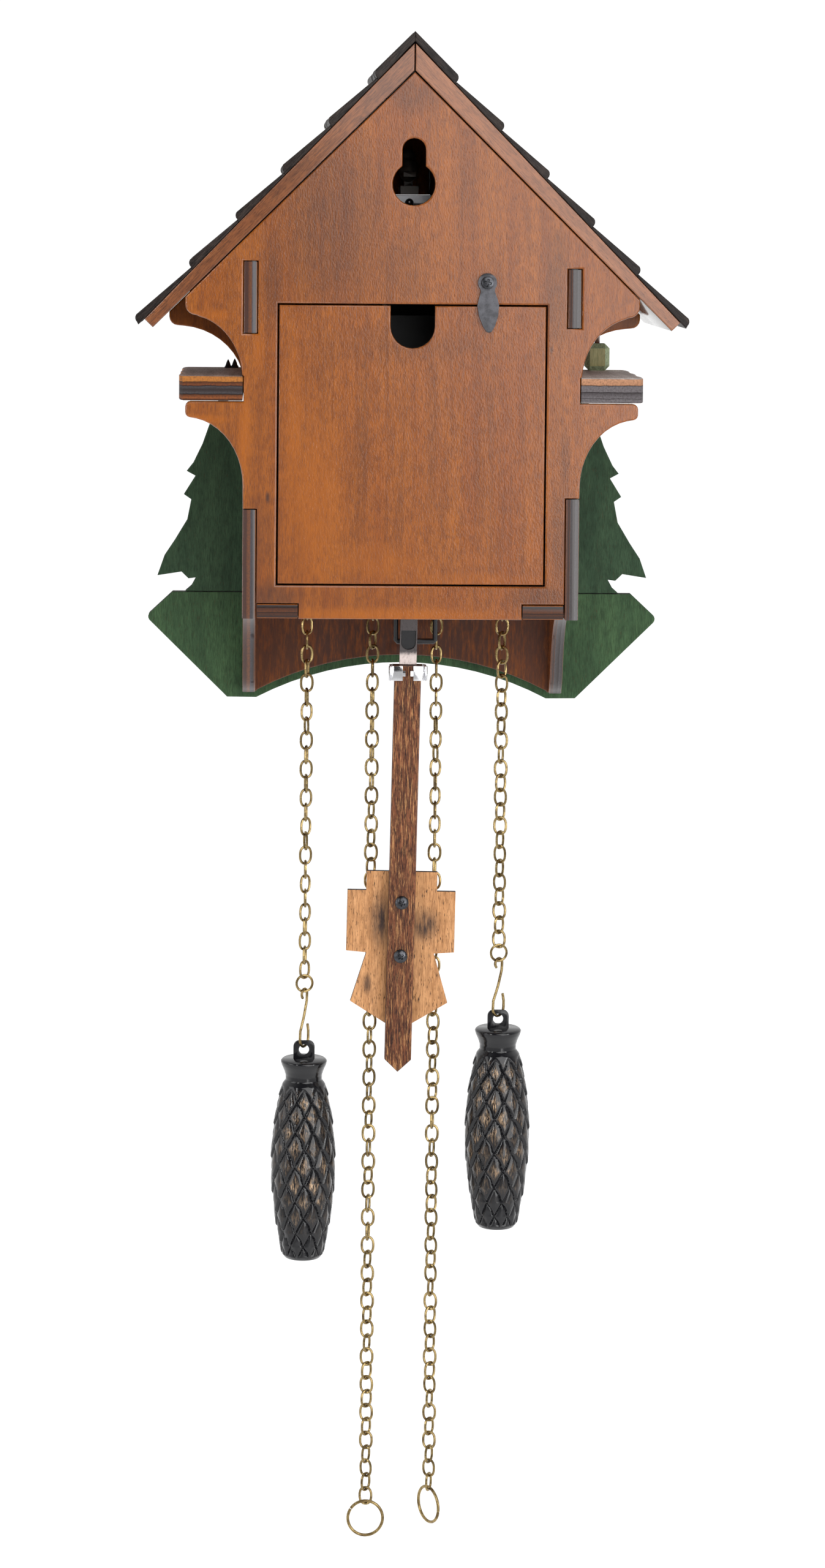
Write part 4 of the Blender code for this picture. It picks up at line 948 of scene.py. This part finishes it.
def make_boards():
    board_piece("back_panel", Y_AXIS, 0.65, BROWN, "panel_wood", 3, contrast=1.2, pebble=0.052,
                smudges=PANEL_SMUDGES, glow=PANEL_GLOW)
    board_piece("hatch", Y_AXIS, 0.5, BROWN, "hatch_wood", depth=thickness_of("back_panel", Y_AXIS),
                contrast=1.2, pebble=0.052, smudges=HATCH_SMUDGES, glow=HATCH_GLOW, seed=1.0)
    board_piece("front_board", Y_AXIS, 0.6, BROWN, "front_wood", smudges=FRONT_SMUDGES,
                smoke=(0.055, 0.021, 0.013), coat=0.3, seed=2.0)
    board_piece("bottom_board", Z_AXIS, 0.4, BROWN, "bottom_wood", turn=(90, 0, 0),
                layers=BOTTOM_LAYERS, coat=0.45, seed=4.0)
    for side, sign in SIDES.items():
        board_piece("side_board_" + side, X_AXIS, 0.35, BROWN, "side_wood_" + side,
                    layers=SIDE_LAYERS[side], roll=(0.6, 0.9),
                    soot=[((sign * 61, 0, -204), (60, 30, 26), 2.0)], seed=3.0 + sign)
        board_piece("roof_board_" + side, Y_AXIS, 0.5, ROOF_COLOURS[side], "roof_wood_" + side, 3,
                    depth=ROOF_DEPTH, turn=(0, sign * ROOF_TURN, 0), layers=ROOF_LAYERS, contrast=1.1,
                    pores=0.6, flecks=0.08, roll=(0.4, 0.8), seed=5.0 + sign)
        board_piece("shelf_" + side, Z_AXIS, 0.4, SHELF_COLOURS[side], "shelf_wood_" + side,
                    turn=(90, 0, 0), layers=SHELF_LAYERS[side], coat=0.0, roughness=0.65,
                    roll=(0.5, 0.8), seed=7.0 + sign)
        board_piece("tree_" + side, Y_AXIS, 0.4, TREE_COLOURS, "tree_green_" + side,
                    seed=9.0 + sign, **GREEN_LOOKS)
        for row in range(1, 7):
            node = "shingle_{}_{}".format(side, row)
            make_shakes(node, shingle_wood(side, sign), random.Random(row + 10 * sign))
    board_piece("base_board", Y_AXIS, 0.4, BASE_COLOURS, "base_green", seed=11.0, **GREEN_LOOKS)
    make_joint_beads()


def make_joint_beads():
    """Dark beads inside the case, in the joint between the back and the roof: a dark strip that stands
    in for the shade in the joint and closes it.
    """
    glue = moulded_plastic("dark_glue", (0.020, 0.012, 0.009), 0.6)
    for side, sign in SIDES.items():
        under = [(x, ROOF_UNDERSIDE_Z - ROOF_UNDERSIDE_SLOPE * x) for x in (0.8, 84.0)]
        loop = [(sign * x, 0, z) for x, z in under]
        loop += [(sign * x, 0, z - 1.1) for x, z in reversed(under)]
        mesh = rounded_plate([[Vector(point) * MM for point in loop]], Y_AXIS, -6.1, -5.4, 0.05, 1)
        case_piece("joint_bead_" + side, mesh, glue)


def make_shakes(node, material, rng):
    """One row of the roof as separate shakes of uneven width, side by side along the roof's depth.
    All but the rearmost, which lines up with the back, are a little out of line."""
    low, high = node_box(node)
    loops = outlines(node, Y_AXIS)
    bm = bmesh.new()
    front, gap = low.y, 0.12
    while front < high.y - 1:
        width = rng.uniform(14.0, 23.0)
        rearmost = front + width > high.y - 12
        rear = high.y if rearmost else front + width
        slide = Vector((rng.uniform(-0.35, 0.35), 0, rng.uniform(-0.15, 0.15))) * MM
        if rearmost:
            slide *= 0
        moved = [[point + slide for point in loop] for loop in loops]
        rear_gap = 0.0 if rearmost else gap
        bm.from_mesh(rounded_plate(moved, Y_AXIS, front + gap, rear - rear_gap, 0.45, grow=0.2))
        front = rear
    return finished(node, mesh_of(bm, node, outward=False), material)


def shingle_wood(side, sign):
    """Near-black stained shakes, grooved along the slope; one material for each side of the roof."""
    name = "shingle_wood_" + side
    return bpy.data.materials.get(name) or wood(
        name, *SHAKE_COLOURS, Y_AXIS, ROOF_DEPTH, turn=(0, sign * ROOF_TURN, 0), bands=(0.30, 0.03),
        contrast=1.6, roll=ALL_VENEER, relief=0.35, coat=0.15, roughness=0.5, seed=13.0 + sign)


def make_small_parts():
    board_piece("pendulum_rod", Y_AXIS, 0.45, ROD_COLOURS, "rod_wood", bands=(0.45, 0.02), flecks=1.0,
                contrast=1.7, pores=0.8, relief=0.12, coat=0.4, seed=15.0)
    low, high = node_box("pendulum_leaf")
    middle = (low.x + high.x) / 2
    stains = [((middle + 8, LEAF_BACK_Y, -304), (6.0, 6, 15), 1.0),
              ((middle - 9, LEAF_BACK_Y, -306), (8.0, 6, 9), 1.0),
              ((middle + 13, LEAF_BACK_Y, -329), (2.5, 6, 6), 0.8),
              ((middle, LEAF_BACK_Y, -310), (7.5, 6, 26), 0.5)]
    board_piece("pendulum_leaf", Y_AXIS, 0.15, LEAF_COLOURS, "leaf_wood", bands=(0.3, 0.02),
                smudges=stains, smoke=(0.055, 0.038, 0.034), pores=1.0, contrast=0.95, relief=0.08,
                layers=LEAF_LAYERS, coat=0.0, roughness=0.6, seed=16.0)
    make_clip()
    plate_piece("pendulum_strip", Y_AXIS, 0.1, strip_material())
    plate_piece("pendulum_hanger", Y_AXIS, 0.2, black_plastic)
    plate_piece("pendulum_guard", Y_AXIS, 0.5, black_plastic)
    screw_piece("leaf_screw_upper", 25.0, 1.3, 0.9)
    screw_piece("leaf_screw_lower", 52.0, 1.3, 0.9)
    screw_piece("latch_screw", 12.0, 1.45, 0.35)
    for node, material in (("latch", blackened), ("movement_case", movement_plastic()),
                           ("set_knob", grey_plastic), ("mode_switch", grey_plastic),
                           ("speaker", black_plastic), ("battery_1", battery_jacket),
                           ("battery_2", battery_jacket)):
        soft_copy(node, material)
    bird = soft_copy("cuckoo", bird_paint)
    bird.data.transform(Matrix.Translation((0, 0, BIRD_LIFT * MM)))
    board_piece("cuckoo_door", Y_AXIS, 0.3, BROWN, "door_wood", grow=0.22, coat=0.0, seed=17.0)
    board_piece("dial", Y_AXIS, 0.3, DIAL_COLOURS, "dial_wood", seed=18.0)
    plate_piece("hour_hand", Y_AXIS, 0.15, ivory_plastic)
    plate_piece("minute_hand", Y_AXIS, 0.15, ivory_plastic)


def make_clip():
    """The spring clip round the rod: folded ends, and behind the rod two leaves that almost meet."""
    low, high = node_box("pendulum_clip")
    x, front, rear = (low.x + high.x) / 2, low.y, high.y
    half = [(0, front), (5.9, front), (7.1, front + 1.6), (7.1, rear - 1.6), (7.5, rear - 0.5),
            (7.2, rear), (6.8, rear - 0.2), (6.6, rear - 0.9), (6.1, rear - 0.3), (5.4, rear),
            (2.1, rear), (2.1, rear - 0.6), (5.3, rear - 0.7), (6.4, rear - 1.8), (6.4, front + 2.0),
            (5.6, front + 0.7), (0, front + 0.7)]
    leaf = [(0.8, rear - 0.5), (2.3, rear - 0.7), (2.3, rear - 0.1), (1.0, rear + 0.1)]
    bm = bmesh.new()
    for sign in SIDES.values():
        for outline, foot, head in ((half, low.z, high.z), (leaf, low.z + 1.7, high.z - 1.9)):
            loop = [Vector((x + sign * u, v, 0)) * MM for u, v in outline]
            bm.from_mesh(rounded_plate([loop], Z_AXIS, foot, head, 0.08, 1))
    finished("pendulum_clip", mesh_of(bm, "clip", outward=False), chrome)


def screw_piece(node, turn, cross, dome):
    """A screw head with a cross recess: a fine height field on the head that faces the back. The
    cross has a turn in degrees and a reach, and dome is how far the head's edge is below its top."""
    low, high = node_box(node)
    centre = (low + high) / 2
    radius = (high.x - low.x) / 2
    thickness, recess_depth = 1.3, 0.8
    base = high.y - thickness
    bm = bmesh.new()
    around, inwards = 96, 30
    rings = []
    for step_in in range(inwards + 1):
        distance = radius * (1 - step_in / inwards) if step_in < inwards else 0.02
        ring = []
        for index in range(around):
            angle = 2 * math.pi * index / around
            u, v = distance * math.cos(angle), distance * math.sin(angle)
            height = thickness - dome * (distance / radius) ** 2.5
            height = min(height, 0.45 + 4.0 * (radius - distance))
            spun = angle - math.radians(turn)
            along, aside = abs(distance * math.cos(spun)), abs(distance * math.sin(spun))
            along, aside = max(along, aside), min(along, aside)
            recess = (1 - step(aside, 0.28, 0.42)) * (1 - step(along, cross - 0.2, cross))
            height -= recess_depth * recess
            ring.append(bm.verts.new(Vector((centre.x + u, base + height, centre.z + v)) * MM))
        rings.append(ring)
    foot = [bm.verts.new((vert.co.x, (base - 0.1) * MM, vert.co.z)) for vert in rings[0]]
    rings.insert(0, foot)
    for here, there in zip(rings, rings[1:]):
        bridge(bm, here, there)
    bm.faces.new(rings[-1])
    bm.faces.new(list(reversed(foot)))
    return finished(node, smooth(mesh_of(bm, node), 50), screw_black)


def strip_material():
    """The pendulum's metal strip: a dark band above, which is a painted reflection of the dark case,
    and bright pinkish metal below.
    """
    shader = Shader("strip_metal", 0.3, 1.0)
    place = shader.place()
    height = shader.axis(place, Z_AXIS)
    smear = shader.noise(place, (0.9, 0.9, 0.5), detail=4.0, roughness=0.7)
    level = shader.math("ADD", height, shader.math("MULTIPLY", smear, 3.0))
    # The upper band's dark colour is a painted reflection of the case.
    bright, oily = (0.66, 0.56, 0.53), (0.09, 0.08, 0.08)
    shader.set("Base Color", shader.over(bright, oily, level, -198.5, -196.5))
    shader.set("Roughness", shader.between(smear, 0.3, 0.7, 0.22, 0.42))
    shader.bump(smear, 0.02)
    return shader.material


# ---------- front trim and small ornaments
def block_mesh(boxes, rounding, segments=2):
    """Boxes, each a (low, high) pair of corners in millimetres, with their edges rounded."""
    bm = bmesh.new()
    for low, high in boxes:
        made = bmesh.ops.create_cube(bm, size=1.0)["verts"]
        for vert in made:
            vert.co = [(lo + hi) / 2 * MM + c * (hi - lo) * MM for c, lo, hi in zip(vert.co, low, high)]
    bmesh.ops.bevel(bm, geom=bm.edges[:], offset=rounding * MM, segments=segments, profile=0.5,
                    affect="EDGES")
    return smooth(mesh_of(bm, "blocks"))


def lathe_mesh(profile, places, axis, steps, closed=False):
    """The (radius, height) profile turned about an axis at each place, in millimetres. A closed
    profile makes a ring, and an open one is capped at its ends."""
    bm = bmesh.new()
    first, second = FLAT_AXES[axis]
    for place in places:
        rings = []
        for radius, height in profile:
            ring = []
            for across, up in circle(steps):
                spot = Vector(place)
                spot[first] += radius * across
                spot[second] += radius * up
                spot[axis] += height
                ring.append(bm.verts.new(spot * MM))
            rings.append(ring)
        for here, there in zip(rings, rings[1:]):
            bridge(bm, here, there)
        if closed:
            bridge(bm, rings[-1], rings[0])
        else:
            cap_ends(bm, rings)
    return smooth(mesh_of(bm, "lathe"))


DIAL_CENTRE_Z = -88.0
DIAL_FACE_Y = -82.7
NUMERALS = ("XII", "I", "II", "III", "IIII", "V", "VI", "VII", "VIII", "IX", "X", "XI")
GLYPH_WIDTH = {"I": 1.5, "V": 3.4, "X": 3.4}
GLYPH_STROKES = {"I": [(0, 0)], "V": [(-0.5, 0), (0.5, 0)], "X": [(-0.5, 0.5), (0.5, -0.5)]}
NUMERAL_FOOT = 22.5
BAR_FACES = ((0, 1, 2, 3), (7, 6, 5, 4), (0, 4, 5, 1), (1, 5, 6, 2), (2, 6, 7, 3), (3, 7, 4, 0))
WINDOW_X, WINDOW_Z = 43.0, -41.0
BARGE_REACH, BARGE_TOP = 60.0, 24.3
BALUSTER_PITCH = 6.6


def numeral_mesh():
    """Raised Roman numerals, each stroke a thin bar, standing round the dial."""
    bm = bmesh.new()
    height, half_stroke = 6.0, 0.36
    for hour, text in enumerate(NUMERALS):
        turn = Matrix.Rotation(math.radians(30 * hour), 3, "Y")
        left = -sum(GLYPH_WIDTH[letter] for letter in text) / 2
        for letter in text:
            width = GLYPH_WIDTH[letter]
            middle = left + width / 2
            left += width
            for top_share, foot_share in GLYPH_STROKES[letter]:
                top = middle + top_share * (width - 1.3)
                foot = middle + foot_share * (width - 1.3)
                corners = []
                for y in (DIAL_FACE_Y + 0.1, DIAL_FACE_Y - 0.6):
                    for u, v in ((top - half_stroke, height), (top + half_stroke, height),
                                 (foot + half_stroke, 0), (foot - half_stroke, 0)):
                        spot = turn @ Vector((u, 0, NUMERAL_FOOT + v))
                        place = Vector((spot.x, y, DIAL_CENTRE_Z + spot.z))
                        corners.append(bm.verts.new(place * MM))
                for face in BAR_FACES:
                    bm.faces.new([corners[i] for i in face])
    return mesh_of(bm, "numerals")


def bargeboard_outline():
    """The trim under the front of the roof: straight above, scalloped below."""
    slope = math.tan(math.radians(ROOF_SLOPE))
    eaves = BARGE_TOP - slope * BARGE_REACH
    upper = [(-BARGE_REACH, eaves), (0.0, BARGE_TOP), (BARGE_REACH, eaves)]
    lower, count = [], 96
    for index in range(count + 1):
        x = BARGE_REACH * (1 - 2 * index / count)
        drop = 9.0 + 2.2 * abs(math.sin(math.pi * x / 12.0)) - 3.5 * step(abs(x), 48, 60)
        lower.append((x, BARGE_TOP - slope * abs(x) - drop))
    return [[Vector((x, 0, z)) * MM for x, z in upper + lower]]


def make_front_trim():
    trim = wood("trim_wood", *BROWN, Y_AXIS, TRIM_DEPTH, roll=ALL_VENEER, seed=21.0)
    pale = wood("carved_wood", *CARVED_COLOURS, Y_AXIS, TRIM_DEPTH, roll=ALL_VENEER, seed=22.0)
    green = wood("shutter_green", *SHUTTER_COLOURS, Y_AXIS, TRIM_DEPTH, roll=ALL_VENEER, coat=0.0,
                 roughness=0.6, seed=23.0)
    case_piece("dial_numerals", numeral_mesh(), ivory_plastic)
    rim = [(32.2, 0.0), (32.4, -0.8), (33.1, -1.3), (33.9, -1.0), (34.2, -0.2), (34.2, 0.6),
           (32.2, 0.6)]
    ring = lathe_mesh(rim, [(0, DIAL_FACE_Y, DIAL_CENTRE_Z)], Y_AXIS, 96, closed=True)
    case_piece("dial_rim", ring, pale)
    barge = rounded_plate(bargeboard_outline(), Y_AXIS, -99.4, -96.4, 0.4)
    case_piece("bargeboard", barge, pale)
    front = node_box("front_board")[0].y
    make_windows(front, pale, green)
    make_balcony(front, trim, pale)


def make_windows(front, wooden, green):
    """Two small windows on the front board: frames with glazing bars, dark panes, slatted shutters."""
    frames, shutters, panes = [], [], []
    inside, z = front + 0.2, WINDOW_Z
    for sign in SIDES.values():
        x = sign * WINDOW_X
        for dx in (-5.2, 0.0, 5.2):
            wide = 0.5 if dx == 0 else 0.9
            frames.append(((x + dx - wide, front - 1.8, z - 8), (x + dx + wide, inside, z + 8)))
        for dz in (-8.0, 0.0, 8.0):
            tall = 0.5 if dz == 0 else 0.9
            frames.append(((x - 6.0, front - 1.7, z + dz - tall), (x + 6.0, inside, z + dz + tall)))
        frames.append(((x - 7.2, front - 3.6, z - 10.4), (x + 7.2, inside, z - 8.6)))
        panes.append(((x - 5.4, front - 0.5, z - 8.2), (x + 5.4, inside, z + 8.2)))
        for dx in (-9.0, 9.0):
            middle = x + dx
            shutters.append(((middle - 2.4, front - 1.4, z - 8.6), (middle + 2.4, inside, z + 8.6)))
            for slat in range(5):
                foot = z - 7.2 + slat * 3.0
                shutters.append(((middle - 1.6, front - 2.0, foot),
                                 (middle + 1.6, front - 1.0, foot + 2.0)))
    case_piece("window_frames", block_mesh(frames, 0.2), wooden)
    case_piece("window_panes", block_mesh(panes, 0.1), black_plastic)
    case_piece("window_shutters", block_mesh(shutters, 0.25), green)


def make_balcony(front, rail_wood, turned_wood):
    """The balcony under the dial: rails, end posts and fifteen turned balusters."""
    inside = front + 0.2
    rails = [((-54, front - 5.2, -131.2), (54, front - 1.2, -128.6)),
             ((-54, front - 5.0, -153.0), (54, inside, -150.0)),
             ((-54, front - 4.4, -155.2), (54, inside, -153.0))]
    for middle in (-52.0, 52.0):
        rails.append(((middle - 2.0, front - 5.6, -153.5), (middle + 2.0, inside, -127.2)))
    case_piece("balcony_rails", block_mesh(rails, 0.5), rail_wood)
    baluster = [(1.0, 0.0), (1.3, 0.6), (1.3, 1.6), (0.8, 2.4), (0.75, 4.0), (1.2, 6.5), (1.75, 9.0),
                (1.6, 11.0), (0.9, 13.2), (0.7, 15.5), (0.95, 17.0), (1.3, 17.8), (1.3, 18.8),
                (1.0, 19.4)]
    places = [(index * BALUSTER_PITCH, front - 3.1, -150.4) for index in range(-7, 8)]
    balusters = lathe_mesh(baluster, places, Z_AXIS, 16)
    case_piece("balcony_balusters", balusters, turned_wood)


def make_shelf_ornaments():
    """What stands on the shelves and shows from behind, the stud on the stage and the door's stop."""
    olive = wood("olive_block", *OLIVE_COLOURS, Y_AXIS, BLOCK_DEPTH,
                 layers=[(0.0, (0.28, 0.33, 0.19)), (1.0, (0.36, 0.42, 0.26))], roll=(0.75, 0.95),
                 coat=0.2, seed=25.0)
    brown = wood("post_wood", *POST_COLOURS, Y_AXIS, BLOCK_DEPTH, roll=ALL_VENEER, seed=26.0)
    top = node_box("shelf_left")[1].z
    block = block_mesh([((-80.7, -74.2, top - 0.1), (-70.9, -65.2, top + 10.7))], 1.9, 1)
    case_piece("shelf_block", block, olive)
    post = block_mesh([((-77.0, -71.2, top + 10.5), (-75.0, -69.2, top + 35.5))], 0.3)
    case_piece("shelf_post", post, brown)
    profile = [(1.7, 0.0), (1.7, 0.5), (1.3, 1.1), (0.6, 1.4), (0.1, 1.45)]
    stud = lathe_mesh(profile, [(0.3, -36.0, -24.2)], Y_AXIS, 20)
    case_piece("stage_stud", stud, black_plastic)
    stop = block_mesh([((-9.9, -76.4, -20.8), (-8.9, -75.1, -4.0))], 0.1)
    case_piece("doorway_stop", stop, black_plastic)
    profile = [(1.5, -0.1), (1.6, 0.5), (1.1, 1.2), (0.8, 2.2), (0.35, 3.2), (0.08, 3.7)]
    peaks = lathe_mesh(profile, [(67.4, -68.0, top), (70.0, -68.0, top - 0.3)], Z_AXIS, 14)
    case_piece("shelf_peaks", peaks, black_plastic)


make_camera()
make_studio()
make_chains()
make_boards()
make_small_parts()
make_front_trim()
make_shelf_ornaments()

bpy.context.scene.view_settings.view_transform = "Standard"
